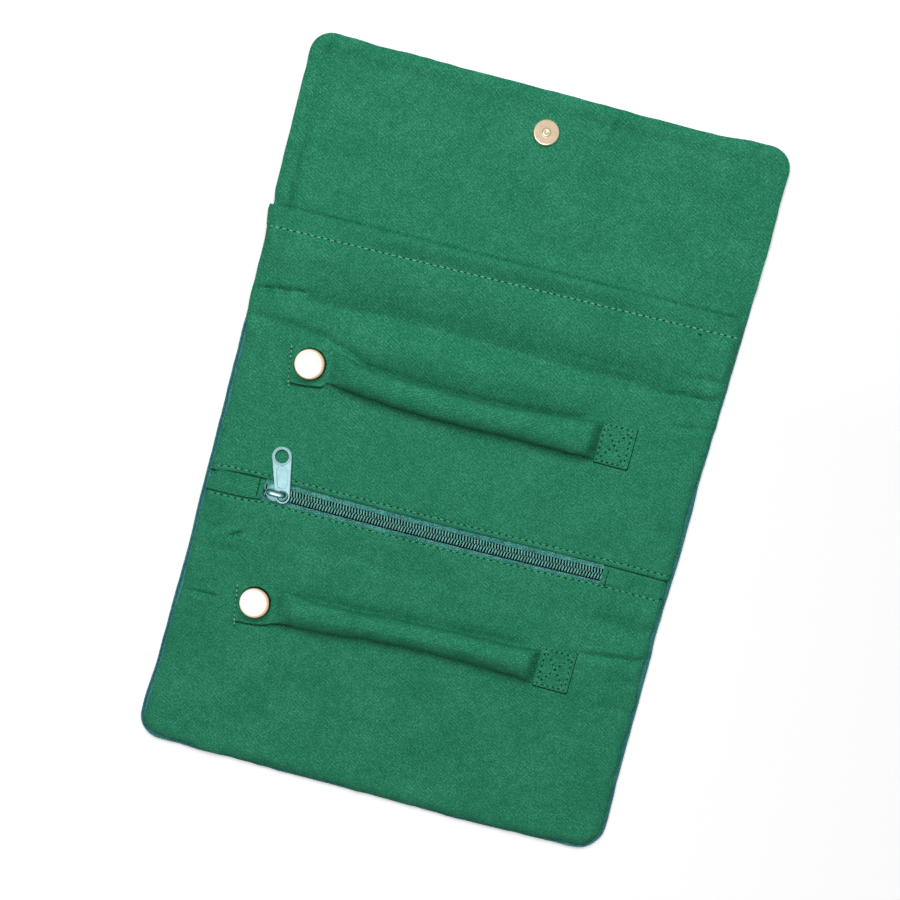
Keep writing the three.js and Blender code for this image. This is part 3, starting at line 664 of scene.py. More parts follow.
def metal(name, dull, bright, rough, scale, metallic=1.0, coat=0.0, painted_slope_colours=None, facing=(0, 0, 1)):
    """Plated or lacquered metal with faint tarnish, fine scratches and uneven gloss.

    rough holds the least and the most roughness. The slope colours are painted light: colours that stand
    for shade where the surface turns away from the given direction, from the steepest on, and for a painted
    highlight or reflection where it faces that way.
    """
    material, tree, shader = new_material(name)
    where = add_node(tree, "ShaderNodeTexCoord")
    place = where.outputs["Object"]
    tarnish = noise_node(tree, place, scale, 4.0)
    brushing = (6.0, 0.6, 1.0)
    stretched = add_node(tree, "ShaderNodeVectorMath", {"operation": "MULTIPLY"}, i0=place, i1=brushing)
    scratches = noise_node(tree, stretched.outputs["Vector"], scale * 4, 5.0)
    colour = ramp(tree, tarnish, [(0.3, dull), (0.7, bright)])
    if painted_slope_colours is not None:
        # Painted light: the colour follows how far the surface turns from the given direction.
        level = dot(tree, where.outputs["Normal"], facing)
        last = painted_slope_colours[-1][0]
        flat = ramp(tree, level, [(last, (0, 0, 0)), (last + 0.06, (255, 255, 255))])
        colour = add_node(tree, "ShaderNodeMix", {"data_type": "RGBA"}, i0=flat, i6=ramp(tree, level, painted_slope_colours),
                          i7=colour).outputs[2]
    feed(tree, shader, {
        "Base Color": colour,
        "Roughness": maths(tree, "MULTIPLY_ADD", scratches, rough[1] - rough[0], rough[0]),
        "Metallic": metallic,
        "Coat Weight": coat,
        "Normal": bump_node(tree, scratches, 0.05, 0.05 * MM),
    })
    return material


def spun(name, shade, colour, shine, gloss=0.2):
    """Thread or nylon: fine slanting strands with a soft gloss."""
    material, tree, shader = new_material(name)
    place = add_node(tree, "ShaderNodeTexCoord").outputs["Object"]
    strands = add_node(tree, "ShaderNodeTexWave", {"bands_direction": "DIAGONAL"}, Vector=place, Scale=1400.0,
                       Distortion=2.0, Detail=2.0).outputs["Fac"]
    cloud = noise_node(tree, place, 350.0, 3.0)
    tone = maths(tree, "MULTIPLY_ADD", strands, 0.45, maths(tree, "MULTIPLY", cloud, 0.55))
    feed(tree, shader, {
        "Base Color": ramp(tree, tone, [(0.15, shade), (0.5, colour), (0.85, shine)]),
        "Roughness": maths(tree, "MULTIPLY_ADD", cloud, 0.2, 0.4),
        "Specular IOR Level": gloss,
        "Normal": bump_node(tree, strands, 0.25, 0.05 * MM),
    })
    return material


GREEN = woven("green_twill", (10, 86, 58), (40, 127, 94), (82, 172, 136))
TEAL = woven("teal_cloth", (26, 98, 99), (60, 135, 135), (108, 184, 182), pitch=0.7, float_length=1.6,
             relief_strength=0.3)
BATTING = woven("batting", (196, 192, 182), (222, 219, 210), (240, 238, 231), pitch=2.2, float_length=3.1,
                relief_strength=0.2)
TAPE = woven("zip_tape", (10, 64, 62), (58, 138, 130), (140, 218, 204), wale=(1.0, 0.0), pitch=0.62,
             relief_strength=0.6, grain=1.7, speck=2.2)
NYLON = spun("zip_nylon", (52, 120, 114), (97, 172, 160), (152, 216, 204))
# Painted shade: a near-black core under the zip's teeth stands for the shade between and beside them.
PAINTED_SHADE_CORE = spun("zip_core_painted_shade", (1, 8, 9), (2, 14, 16), (6, 24, 26), 0.05)
THREAD = spun("mint_thread", (88, 164, 132), (120, 190, 160), (154, 214, 188), 0.1)
GREEN_THREAD = spun("green_thread", (60, 140, 106), (86, 162, 128), (116, 188, 158), 0.1)
PATCH_THREAD = spun("patch_thread", (52, 134, 100), (80, 160, 126), (112, 186, 156), 0.1)
# Painted shade: dark dabs in the needle holes, and dark cords for the shadow along sewn edges and under tab
# edges. The zip tacks' threads wear it too.
SHADE_AND_DARK_THREAD = spun("dark_thread_painted_shade", (4, 42, 28), (12, 64, 44), (22, 80, 58), 0.05)
# Painted reflection and shade: the near-white colour stands for a soft box's reflection. The browner colours,
# where the cap slopes from a direction tilted left, stand for its falloff and for shade.
GOLD_PAINTED_LIGHT = metal("gold_painted_reflection", (250, 247, 241), (255, 253, 250), (0.1, 0.2), 220.0,
             painted_slope_colours=[(0.3, (92, 60, 36)), (0.62, (190, 142, 96)), (0.88, (232, 206, 176))],
             facing=(-0.20, 0.06, 0.978))
SATIN_GOLD = metal("satin_gold", (204, 183, 155), (217, 197, 170), (0.15, 0.22), 260.0)
STEEL = metal("nickel", (160, 158, 152), (204, 202, 196), (0.2, 0.4), 240.0)
MAGNET = metal("magnet_plating", (84, 84, 88), (124, 124, 128), (0.3, 0.5), 200.0)
LACQUER = metal("pale_lacquer", (124, 170, 175), (143, 186, 191), (0.3, 0.45), 300.0, 0.15, 0.2)
# Painted shade: the slider wears a darker copy of the puller's lacquer.
SLIDER_LACQUER_PAINTED_SHADE = metal("teal_lacquer_painted_shade", (72, 148, 144), (90, 166, 162), (0.3, 0.42), 300.0, 0.1, 0.2)
# Painted highlight and shade: a pale crest on the slider's bridge and dark teal down its sides.
BRIDGE_PAINTED_LIGHT = metal("lacquer_painted_highlight_and_shade", (150, 194, 191), (188, 220, 217), (0.2, 0.3), 300.0, 0.5, 0.5,
                       painted_slope_colours=[(0.45, (28, 82, 82)), (0.8, (58, 126, 124)), (0.92, (92, 160, 156))])


# What each piece stands for, and what carries it.
def bend(piece):
    """Bakes a piece of cloth's placement into its mesh."""
    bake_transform(piece)


def half_nodes(half, layer):
    """The nodes that one half of a layer stands for."""
    return [f"{body}_{layer}" for body in reversed(HALVES[half]["bodies"])]


def lay(nodes):
    """Hides the nodes that a sheet of cloth stands for."""
    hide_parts(*nodes)


def fit(piece, node, body):
    """Hides a node and attaches a firm piece to one body in its place."""
    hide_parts(node)
    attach(piece, body)


# How far from an edge the closest rows and columns of a sheet lie.
EDGE_STEPS = (0.0, 0.12, 0.35, 0.7, 1.2, 1.9, 2.8, 3.9, 5.2)


def outline_grid(half, cut=COVER_CUT, grown=0.0, extra_rows=()):
    """Flat points, by row and column, that fill the roll's outline from a cut across it to one end."""
    end = HALF_LENGTH + grown
    low, high = (cut, end) if half == "upper" else (-end, cut)
    shares = spread(-HALF_WIDTH, HALF_WIDTH, GRID_STEP, EDGE_STEPS) / HALF_WIDTH
    extra_rows = [row for row in extra_rows if low < row < high]
    rows = np.unique(np.concatenate([spread(low, high, GRID_STEP, EDGE_STEPS), extra_rows]))
    radius = CORNER_RADIUS + grown
    into_corner = rows - (high - radius) if half == "upper" else (low + radius) - rows
    short = np.maximum(into_corner, 0)
    reach = HALF_WIDTH + grown - radius + np.sqrt(np.maximum(radius ** 2 - short ** 2, 0))
    return reach[:, None] * shares[None], np.broadcast_to(rows[:, None], (len(rows), len(shares)))


def flat_map(x, y):
    return np.stack([x, y], axis=-1)


def cover_lift(x, y):
    """How far the cover stands off the ground: with the layers on it, and in a crease at the lower fold."""
    depth, _, _ = inside(x, y)
    lift = 0.28 * np.maximum(relief(x, y) - 0.2, 0) + 0.6 * bump(y, LOWER_FOLD, 2.4)
    lift += 0.08 * (1 + noise(x, y, 17, 71))
    return lift * smooth((depth - 2.5) / 6)


def cover_face(x, y):
    """The cover's outer face, which is below; its edges curl up round the sides."""
    length = COVER_CURL * COVER_CURL_TURN
    run, out_x, out_y = inside(x, y, COVER_GROWN)
    turn = np.clip((length - run) / COVER_CURL, 0, COVER_CURL_TURN)
    curled = run < length
    depth = np.where(curled, COVER_CURL * (1 - np.sin(turn)), COVER_CURL + run - length)
    height = np.where(curled, COVER_CURL * (1 - np.cos(turn)), cover_lift(x, y))
    shift = (COVER_CURL + run - length) - depth
    flat_x, flat_y = wander(x + out_x * shift, y + out_y * shift)
    return np.stack([flat_x, flat_y, height], axis=-1)


def cut_case_hole(face, x, y):
    """Draws the points near the magnet's case to a round hole; tells which faces lie outside it."""
    middle_x = (x[1:, 1:] + x[:-1, :-1]) / 2
    middle_y = (y[1:, 1:] + y[:-1, :-1]) / 2
    away = face[..., :2] - MAGNET_CASE[:2]
    reach = np.linalg.norm(away, axis=-1, keepdims=True)
    near = np.abs(reach - CASE_HOLE) < 0.75 * GRID_STEP
    rim = MAGNET_CASE[:2] + away / np.maximum(reach, 1e-6) * CASE_HOLE
    face[..., :2] = np.where(near, rim, face[..., :2])
    return np.hypot(middle_x - MAGNET_CASE[0], middle_y - MAGNET_CASE[1]) > CASE_HOLE


def make_cover(half):
    x, y = outline_grid(half, grown=COVER_GROWN)
    face = cover_face(x, y)
    keep = cut_case_hole(face, x, y) if half == "lower" else None
    flat = flat_map(x, y)
    piece = sheet_piece("cover_" + half, face, flat, COVER_THICK, TEAL, keep, facing=-1)
    lay(half_nodes(half, "cover"))
    bend(piece)


def mouth_dip(x, y):
    """The lining sinks along the pocket's mouth."""
    depth, _, _ = inside(x, y)
    return 0.9 * bump(y, POCKET_MOUTH + mouth_tilt(x), 1.2) * smooth(depth / 6)


def make_padding(half):
    """Padding between the cover and the lining, out of sight."""
    x, y = outline_grid(half, grown=-PADDING_INSET)
    top = lining_side(x, y, LINING_LEVEL, LINING_SEAM)
    under_lining = top[..., 2] - mouth_dip(x, y) - CLOTH_THICK - 0.05
    on_cover = COVER_THICK + cover_lift(x, y) + 0.02
    top[..., 2] = np.maximum(under_lining, on_cover + 0.1)
    thick = (top[..., 2] - on_cover)[..., None]
    piece = sheet_piece("padding_" + half, top, flat_map(x, y), thick, BATTING)
    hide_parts(*half_nodes(half, "padding"))
    bend(piece)


def make_lining(half):
    """The lining, bare on the flap and under the pockets elsewhere."""
    mouth_rows = np.arange(POCKET_MOUTH - 1.55, POCKET_MOUTH + 6.0, 0.4)
    x, y = outline_grid(half, extra_rows=mouth_rows)
    face = lining_side(x, y, LINING_LEVEL, LINING_SEAM)
    face[..., 2] -= mouth_dip(x, y)
    flat = flat_map(x, y)
    piece = sheet_piece("lining_" + half, face, flat, CLOTH_THICK, GREEN)
    lay(half_nodes(half, "lining"))
    bend(piece)


def turned_rows(depth, gap):
    """Rows of a turned edge, from the hem's end underneath to the face: offset inwards, drop, run."""
    under = [(depth, gap), (depth * 0.6, gap), (depth * 0.25, gap), (gap, gap)]
    curl = [(gap / 2 - gap / 2 * math.sin(turn), gap / 2 + gap / 2 * math.cos(turn))
            for turn in np.linspace(0.2, math.pi - 0.2, 7)]
    rows = np.array(under + curl)
    steps = np.hypot(*np.diff(rows, axis=0).T)
    run = -np.concatenate([np.cumsum(steps[::-1])[::-1], [0.0]])
    return rows, run


def pocket_gape(x, y):
    """The pocket's mouth stands off the lining a little."""
    open_part = 0.4 + 3.1 * smooth((x + 90) / 50) * smooth((85 - x) / 50)
    return open_part * smooth((y - (hem_line(x) - 1)) / 9)


def tuck(away):
    """How far a pocket's edge is pulled down beside the zip."""
    return smooth((1.4 - away) / 1.4) * 0.3


def make_slip_pocket():
    shares = spread(-HALF_WIDTH, HALF_WIDTH, GRID_STEP, EDGE_STEPS)
    mouth_rows, mouth_run = turned_rows(HEM_DEPTH, HEM_GAP)
    foot_rows, foot_run = turned_rows(TURNING_DEPTH, TURNING_GAP)
    near_window = WINDOW_TOP + np.array([TURNING_GAP, 1.3, 1.8, 2.3, 2.8, 3.3, 4.0])
    middle = np.concatenate([near_window, spread(WINDOW_TOP + 5.0, POCKET_MOUTH - 0.8, GRID_STEP)])[::-1]
    line = np.concatenate([POCKET_MOUTH - mouth_rows[:, 0], middle, WINDOW_TOP + foot_rows[::-1, 0]])
    drop = np.concatenate([mouth_rows[:, 1], np.zeros(len(middle)), foot_rows[::-1, 1]])
    cut = np.concatenate([POCKET_MOUTH - mouth_run, middle, WINDOW_TOP + foot_run[::-1]])
    x, y = np.meshgrid(shares, line)
    askew = (window_top(x) - WINDOW_TOP) * smooth((30 - (y - WINDOW_TOP)) / 30)
    y = y + mouth_tilt(x) * smooth((y - 40) / (POCKET_MOUTH - 40)) + askew
    face = panel_spot(x, y)
    away = y - window_top(x)
    face[..., 2] += pocket_gape(x, y) - tuck(away) + lip(away, upper_topstitch(x)) - drop[:, None]
    poke = np.exp(-((POCKET_MOUTH - y) / 5.0) ** 2) * smooth((-x - HALF_WIDTH + 8) / 8)
    face[..., 0] -= 1.3 * poke
    flat = flat_map(x, np.broadcast_to(cut[:, None], x.shape))
    piece = sheet_piece("slip_pocket", face, flat, CLOTH_THICK, GREEN)
    nodes = ["slip_pocket_panel_flap", "slip_pocket_panel_back", "flap_seam_left", "flap_seam_right",
             "back_seam_left", "back_seam_right"]
    lay(nodes)
    bend(piece)


def make_zip_pocket():
    head_rows, head_run = turned_rows(TURNING_DEPTH, TURNING_GAP)
    x, y = outline_grid("lower", WINDOW_BOTTOM - TURNING_GAP)
    head_y = WINDOW_BOTTOM - head_rows[::-1, 0]
    cut = np.concatenate([y[:, 0], WINDOW_BOTTOM - head_run[::-1]])
    drop = np.concatenate([np.zeros(len(y)), head_rows[::-1, 1]])
    head_shape = (len(head_y), x.shape[1])
    x = np.concatenate([x, np.broadcast_to(x[-1], head_shape)])
    y = np.concatenate([y, np.broadcast_to(head_y[:, None], head_shape)])
    y = y + (window_bottom(x) - WINDOW_BOTTOM) * smooth((30 - (WINDOW_BOTTOM - y)) / 30)
    face = panel_spot(x, y)
    away = window_bottom(x) - y
    face[..., 2] += lip(away, LOWER_TOPSTITCH) - tuck(away) - drop[:, None]
    flat = flat_map(x, np.broadcast_to(cut[:, None], x.shape))
    piece = sheet_piece("zip_pocket", face, flat, CLOTH_THICK, GREEN)
    nodes = ["zip_pocket_panel_back", "zip_pocket_panel_front", "front_seam_left", "front_seam_right",
             "front_seam_bottom"]
    lay(nodes)
    bend(piece)


# The zip: end tabs, tapes, coils, slider and puller.
TAB_LEVEL = 4.7
TAPE_DROP = 0.5


def make_end_tab(end, inner, outer, bulge):
    """A cloth strip over the tapes' left or right end; its inner edge is turned under."""
    side = np.sign(outer - inner)
    rows, run = turned_rows(3.0, 0.7)
    body = np.linspace(0.7, abs(outer - inner), 24)
    offset = np.concatenate([rows[:, 0], body])
    drop = np.concatenate([rows[:, 1], np.zeros(len(body))])
    cut = np.concatenate([run, body])
    across = spread(WINDOW_BOTTOM - 2.0, WINDOW_TOP + 2.0, 0.8)
    off, y = np.meshgrid(offset, across)
    x = inner + side * off
    y = y + zip_line(x) - ZIP_LINE
    from_line = np.abs(y - zip_line(x))
    raised = smooth((off - 1.5) / 1.5) * smooth((14 - off) / 1.2) * smooth((4.6 - from_line) / 1.2)
    level = TAB_LEVEL + bulge * raised - 0.5 * smooth((from_line - 4.0) / 1.2)
    level = level + 0.08 * noise(x, y, 5, 31)
    depth, _, _ = inside(x, y)
    level = np.minimum(level, PANEL_SEAM + (TAB_LEVEL - PANEL_SEAM) * smooth(depth / 5) + bulge)
    flat_x, flat_y = wander(x - np.sign(x) * green_inset(x, y) * (1 - smooth(depth / 9)), y)
    face = np.stack([flat_x, flat_y, level - drop[None]], axis=-1)
    flat = flat_map(np.broadcast_to(cut, x.shape), y)
    piece = sheet_piece("zip_end_" + end, face, flat, 0.4, GREEN)
    lay(["zip_end_tab_" + end])
    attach(piece, "back")


def make_tape(row):
    node = "zip_tape_" + row
    low, high = node_box(node)
    x, y = np.meshgrid(np.linspace(low[0], high[0], 150), np.linspace(low[1], high[1], 14))
    edge = np.minimum(y - low[1], high[1] - y)
    level = high[2] - TAPE_DROP + 0.06 * noise(x, y, 9, 41) + 0.12 * np.exp(-(edge / 0.6) ** 2)
    below_teeth = ZIP_LINE - 2.6 - y
    level += np.where(below_teeth > -1, 0.1 - 0.3 * smooth(below_teeth / 3.2), 0.0)
    face = np.stack([x, y + zip_line(x) - ZIP_LINE, level], axis=-1)
    flat = flat_map(x, y)
    piece = sheet_piece("zip_tape_cloth_" + row, face, flat, high[2] - low[2], TAPE)
    lay([node])
    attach(piece, "back")


COIL_PITCH = 1.44
COIL_REACH = 2.6
TOOTH_RADIUS = 0.36
TOOTH_LEAN = 0.22
COIL_PARTING = 0.34


def make_coil(row, side):
    """One row of the zip's teeth: loops of nylon over a near-black core, painted shade, half a pitch on from
    the other row.
    """
    node = "zip_coil_" + row
    low, high = node_box(node)
    first = WINDOW_LEFT + 0.5
    parts = []
    share = np.array([1.0, 0.96, 0.8, 0.5, 0.22, 0.06, 0.02])
    lift = np.array([-0.55, -0.2, 0.0, 0.06, 0.0, -0.25, -0.6])
    thick = TOOTH_RADIUS * np.array([0.7, 0.9, 1.0, 1.0, 1.05, 0.95, 0.7])
    start = first + (0.0 if side > 0 else COIL_PITCH / 2)
    for x in np.arange(start, high[0] + 0.6, COIL_PITCH):
        apart = COIL_PARTING * max(low[0] - x, 0.0)
        loop_x = x + TOOTH_LEAN * (1 - 2 * share)
        loop_y = zip_line(x) + side * (share * COIL_REACH + apart)
        loop = np.stack([loop_x, loop_y, high[2] - TOOTH_RADIUS + lift], axis=-1)
        parts.append(sweep(loop, thick, 6, (1, 0, 0)))
    points, faces = joined(*parts)
    teeth = len(faces)
    x = np.arange(first, high[0] + 0.6, 1.2)
    apart = COIL_PARTING * np.maximum(low[0] - x, 0.0)
    core_y = zip_line(x) + side * (0.5 * COIL_REACH + apart)
    core = np.stack([x, core_y, np.full_like(x, TAPE_LEVEL - 0.2)], axis=-1)
    # The core reaches further out on the lower row: painted shadow on the lower tape.
    core_reach = 0.5 * COIL_REACH + (0.1 if side > 0 else 0.65)
    points, faces = joined((points, faces), sweep(core, core_reach, 8, squash=0.2))
    piece = make_piece("zip_teeth_" + row, points, faces, NYLON, sharp=60, second=(PAINTED_SHADE_CORE, teeth))
    fit(piece, node, "back")


def hull_outline(first, first_radius, second, second_radius, count=40):
    """The outline of a strap round two circles on one line along x, first the left one."""
    lean = math.degrees(math.acos((first_radius - second_radius) / (second - first)))
    left = arc((first, 0), first_radius, lean, 360 - lean, count)
    right = arc((second, 0), second_radius, -lean, lean, count)
    return np.concatenate([left, right])


def stacked(outline, centre, levels):
    """A plate with rounded edges: one outline repeated at (height, inset) levels."""
    outline = np.asarray(outline)
    ahead = np.roll(outline, -1, axis=0) - np.roll(outline, 1, axis=0)
    inward = np.stack([-ahead[:, 1], ahead[:, 0]], axis=-1)
    inward /= np.linalg.norm(inward, axis=1, keepdims=True)
    rings = []
    for height, inset in levels:
        ring = outline + inward * inset
        rings.append(np.column_stack([ring + np.asarray(centre[:2]), np.full(len(ring), height)]))
    return np.concatenate(rings), tube_faces(len(levels), len(outline))


def make_slider():
    low, high = node_box("zip_slider")
    front_radius = 4.3
    rear_radius = 3.7
    outline = hull_outline(low[0] + 0.5 + front_radius, front_radius, high[0] - rear_radius, rear_radius)
    top = 6.15
    upper = stacked(outline, (0, ZIP_LINE), [(5.45, 0.3), (5.55, 0.08), (5.75, 0.0), (top - 0.15, 0.12),
                                             (top - 0.03, 0.4), (top + 0.08, 1.4), (top + 0.1, 2.2)])
    lower = stacked(outline, (0, ZIP_LINE), [(3.15, 0.3), (3.25, 0.05), (3.6, 0.0), (3.75, 0.2)])
    parts = [upper, lower]
    for side in (-1, 1):
        flange = [(low[0] + 3.0, ZIP_LINE + side * 4.0, 5.15), (low[0] + 5.5, ZIP_LINE + side * 3.85, 5.1),
                  (high[0] - 3.0, ZIP_LINE + side * 3.4, 5.1), (high[0] - 1.6, ZIP_LINE + side * 2.9, 5.15)]
        parts.append(sweep(flange, [0.35, 0.5, 0.5, 0.35], 10))
    neck = [(low[0] + 1.8, ZIP_LINE, 3.5), (low[0] + 1.8, ZIP_LINE, 5.7)]
    parts.append(sweep(neck, 1.1, 14, (1, 0, 0)))
    bridge_top = high[2] - 0.4
    left = low[0] + 2.3
    right = high[0] - 2.3
    corner = 1.5
    path = [(left, top - 0.3)]
    path += arc((left + corner, bridge_top - corner), corner, 180, 90, 7).tolist()
    path += arc((right - corner, bridge_top - corner), corner, 90, 0, 7).tolist()
    path += [(right, top - 0.3)]
    path = np.array([(x, ZIP_LINE, z) for x, z in path])
    bridge = sweep(path, 1.35, 18, (0, 1, 0), squash=1.1)
    points, faces = joined(*parts, bridge)
    first_bridge = len(faces) - len(bridge[1])
    # The body's darker lacquer is painted shade; the bridge's pale crest and dark sides are painted highlight
    # and shade.
    piece = make_piece("zip_slider_body", points, faces, SLIDER_LACQUER_PAINTED_SHADE, sharp=40,
                       second=(BRIDGE_PAINTED_LIGHT, first_bridge))
    fit(piece, "zip_slider", "slider")


def plate_mesh(outlines, thick, bevel):
    """A flat plate with holes and rounded edges, lying on z = 0, from a list of outlines."""
    curve = bpy.data.curves.new("plate", "CURVE")
    curve.dimensions = "2D"
    curve.fill_mode = "BOTH"
    for outline in outlines:
        spline = curve.splines.new("POLY")
        spline.points.add(len(outline) - 1)
        spline.use_cyclic_u = True
        for point, (x, y) in zip(spline.points, outline):
            point.co = (x, y, 0, 1)
    curve.extrude = thick / 2 - bevel
    curve.bevel_depth = bevel
    curve.bevel_resolution = 3
    curve.offset = -bevel
    holder = bpy.data.objects.new("plate", curve)
    bpy.context.scene.collection.objects.link(holder)
    bpy.context.view_layer.update()
    mesh = bpy.data.meshes.new_from_object(holder.evaluated_get(bpy.context.evaluated_depsgraph_get()))
    work = bmesh.new()
    work.from_mesh(mesh)
    bmesh.ops.remove_doubles(work, verts=work.verts, dist=0.001)
    points = np.array([vertex.co for vertex in work.verts])
    faces = [[vertex.index for vertex in face.verts] for face in work.faces]
    work.free()
    bpy.data.meshes.remove(mesh)
    bpy.data.objects.remove(holder)
    bpy.data.curves.remove(curve)
    return points + np.array([0, 0, thick / 2]), faces


PULLER_LENGTH = 19.2
PULLER_YAW = math.radians(105)
PULLER_TILT = math.radians(2)


def make_puller():
    """The puller lies along its own x from the eye at the bridge to the head with the large hole."""
    eye_radius = 3.45
    head_radius = 4.7
    eye_bore = 2.75
    head_bore = 3.3
    outline = hull_outline(0, eye_radius, PULLER_LENGTH, head_radius)
    eye = arc((0, 0), eye_bore, 0, 348, 30)
    head = arc((PULLER_LENGTH, 0), head_bore, 0, 350, 36)
    plate = plate_mesh([outline, eye, head], 0.6, 0.15)
    field = hull_outline(eye_bore + 3.1, 2.35, PULLER_LENGTH - head_bore - 4.0, 2.75, 20)
    rim = plate_mesh([outline, eye, head, field], 1.15, 0.15)
    ring_turn = np.radians(np.linspace(0, 360, 49))
    ring = np.stack([PULLER_LENGTH + (head_bore + 0.75) * np.cos(ring_turn),
                     (head_bore + 0.75) * np.sin(ring_turn), np.full(49, 0.85)], axis=-1)
    points, faces = joined(plate, rim, sweep(ring, 0.5, 10))
    place = Matrix.Translation((JOINTS["puller_swing"][0] + 0.3, ZIP_LINE - 0.6, 6.4))
    place = place @ Matrix.Rotation(PULLER_YAW, 4, "Z") @ Matrix.Rotation(PULLER_TILT, 4, "Y")
    placed = np.array([place @ Vector(point) for point in points])
    piece = make_piece("zip_puller_plate", placed, faces, LACQUER, sharp=35)
    fit(piece, "zip_puller", "puller")


# The ring bars: a snap tab, a stuffed tube and a sewn-down tab, all one cloth.
# root: the body under a bar; seed: of its swellings; cap_shift: how far its cap lies off the snap, x and y.
# flank: how straight its shaded side is (1 is round, more is straighter).
# tab_shade_cord: where along x the dark cord under its snap tab's edge runs, a painted shadow.
# sewn: left, right, low and high side of the stitched square at its end; shade_cords: the dark cords beside
# that, painted shadow along the sewn square's edges.
# sides: stops along x with the bar's lower and upper side.
BARS = {
    "upper": {
        "root": "back", "snap": UPPER_SNAP, "seed": 61, "flank": 1.15, "tab_shade_cord": (-86.4, -68.6),
        "cap_shift": (0.6, 0.3),
        "sewn": (64.1, 77.3, 12.7, 30.2),
        "shade_cords": [((79.5, 31.4), (79.5, 11.4)), ((63.2, 11.3), (79.4, 11.3))],
        "sides": [(-88.0, 21.0, 27.0), (-87.0, 14.0, 28.4), (-86.0, 10.7, 28.9), (-77.0, 11.4, 30.4),
                  (-71.0, 12.4, 30.6), (-69.4, 13.5, 30.5), (-68.4, 15.2, 30.4), (-64.0, 15.0, 29.4),
                  (-50.0, 13.6, 26.9), (-38.0, 12.8, 26.1), (-10.0, 12.0, 25.2), (20.0, 12.8, 26.4),
                  (45.0, 13.1, 28.8), (56.0, 13.1, 29.9), (59.5, 12.8, 30.4), (61.2, 12.5, 30.8),
                  (62.2, 12.2, 31.1), (63.6, 11.5, 31.5), (78.4, 11.5, 31.7), (79.4, 12.0, 31.2)],
    },
    "lower": {
        "root": "front", "snap": LOWER_SNAP, "seed": 65, "flank": 1.38, "tab_shade_cord": (-83.4, -56.0),
        "cap_shift": (0.2, 0.8),
        "sewn": (65.2, 78.6, -99.2, -82.0),
        "shade_cords": [((80.3, -80.4), (80.3, -100.8)), ((63.4, -100.9), (80.2, -100.9))],
        "sides": [(-85.0, -97.5, -91.5), (-84.0, -104.5, -90.1), (-83.0, -107.8, -89.6),
                  (-74.0, -107.1, -88.0), (-69.0, -106.0, -87.2), (-65.4, -104.3, -86.9),
                  (-62.0, -103.0, -87.2), (-57.0, -102.2, -87.6), (-50.0, -102.1, -88.2),
                  (-39.0, -101.6, -88.2), (-30.0, -100.2, -87.6), (-20.0, -98.9, -86.9),
                  (0.0, -97.8, -85.6), (20.0, -97.1, -84.8), (45.0, -97.4, -84.0), (56.0, -98.0, -83.4),
                  (59.5, -98.5, -82.8), (61.4, -99.0, -82.2), (62.4, -99.4, -81.7), (64.0, -100.6, -80.6),
                  (79.0, -100.6, -80.3), (80.2, -100.1, -80.8)],
    },
}
BAR_SIDES = 44
BAR_LOW = 5.2
BAR_HIGH = 16.2
BAR_TAB_LOW = node_box("upper_snap_cap")[0][2] - 0.8
BAR_TAB_THICK = 0.8
BAR_PATCH_THICK = 1.15
BAR_END = 63.2


def bar_levels(x, snap_x):
    """Underside and height of a bar at x: a flat tab on the snap, the tube, and a flat tab at its end."""
    neck = smooth((x - (snap_x + 8.5)) / 13.0)
    end = np.sin(math.pi / 2 * np.clip((BAR_END - x) / 6.5, 0, 1)) ** 1.25
    low = BAR_TAB_LOW + (BAR_LOW - BAR_TAB_LOW) * smooth((x - (snap_x + 9.0)) / 11.0)
    low = np.where(x > 50, BAR_LOW - 0.1, low)
    thin = np.where(x > 50, BAR_PATCH_THICK, BAR_TAB_THICK)
    tall = thin + (BAR_HIGH - BAR_LOW - thin) * np.minimum(neck, end)
    return low, tall


def reach_along(path):
    """How far along a path each of its points lies."""
    return np.concatenate([[0], np.cumsum(np.linalg.norm(np.diff(path, axis=0), axis=1))])


def make_tab_shade_cord(name, side, body):
    """A dark cord under the lower edge of a snap tab: painted shadow of the raised tab."""
    path = side + np.array([0.0, -0.2, -0.3])
    reach = reach_along(path)
    thick = 0.42 * np.sqrt(np.clip(np.minimum(reach + 0.3, reach[-1] - reach + 0.1) / 3.0, 0, 1))
    points, faces = sweep(path, thick, 8, squash=0.8)
    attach(make_piece(name, points, faces, SHADE_AND_DARK_THREAD, sharp=70), body)


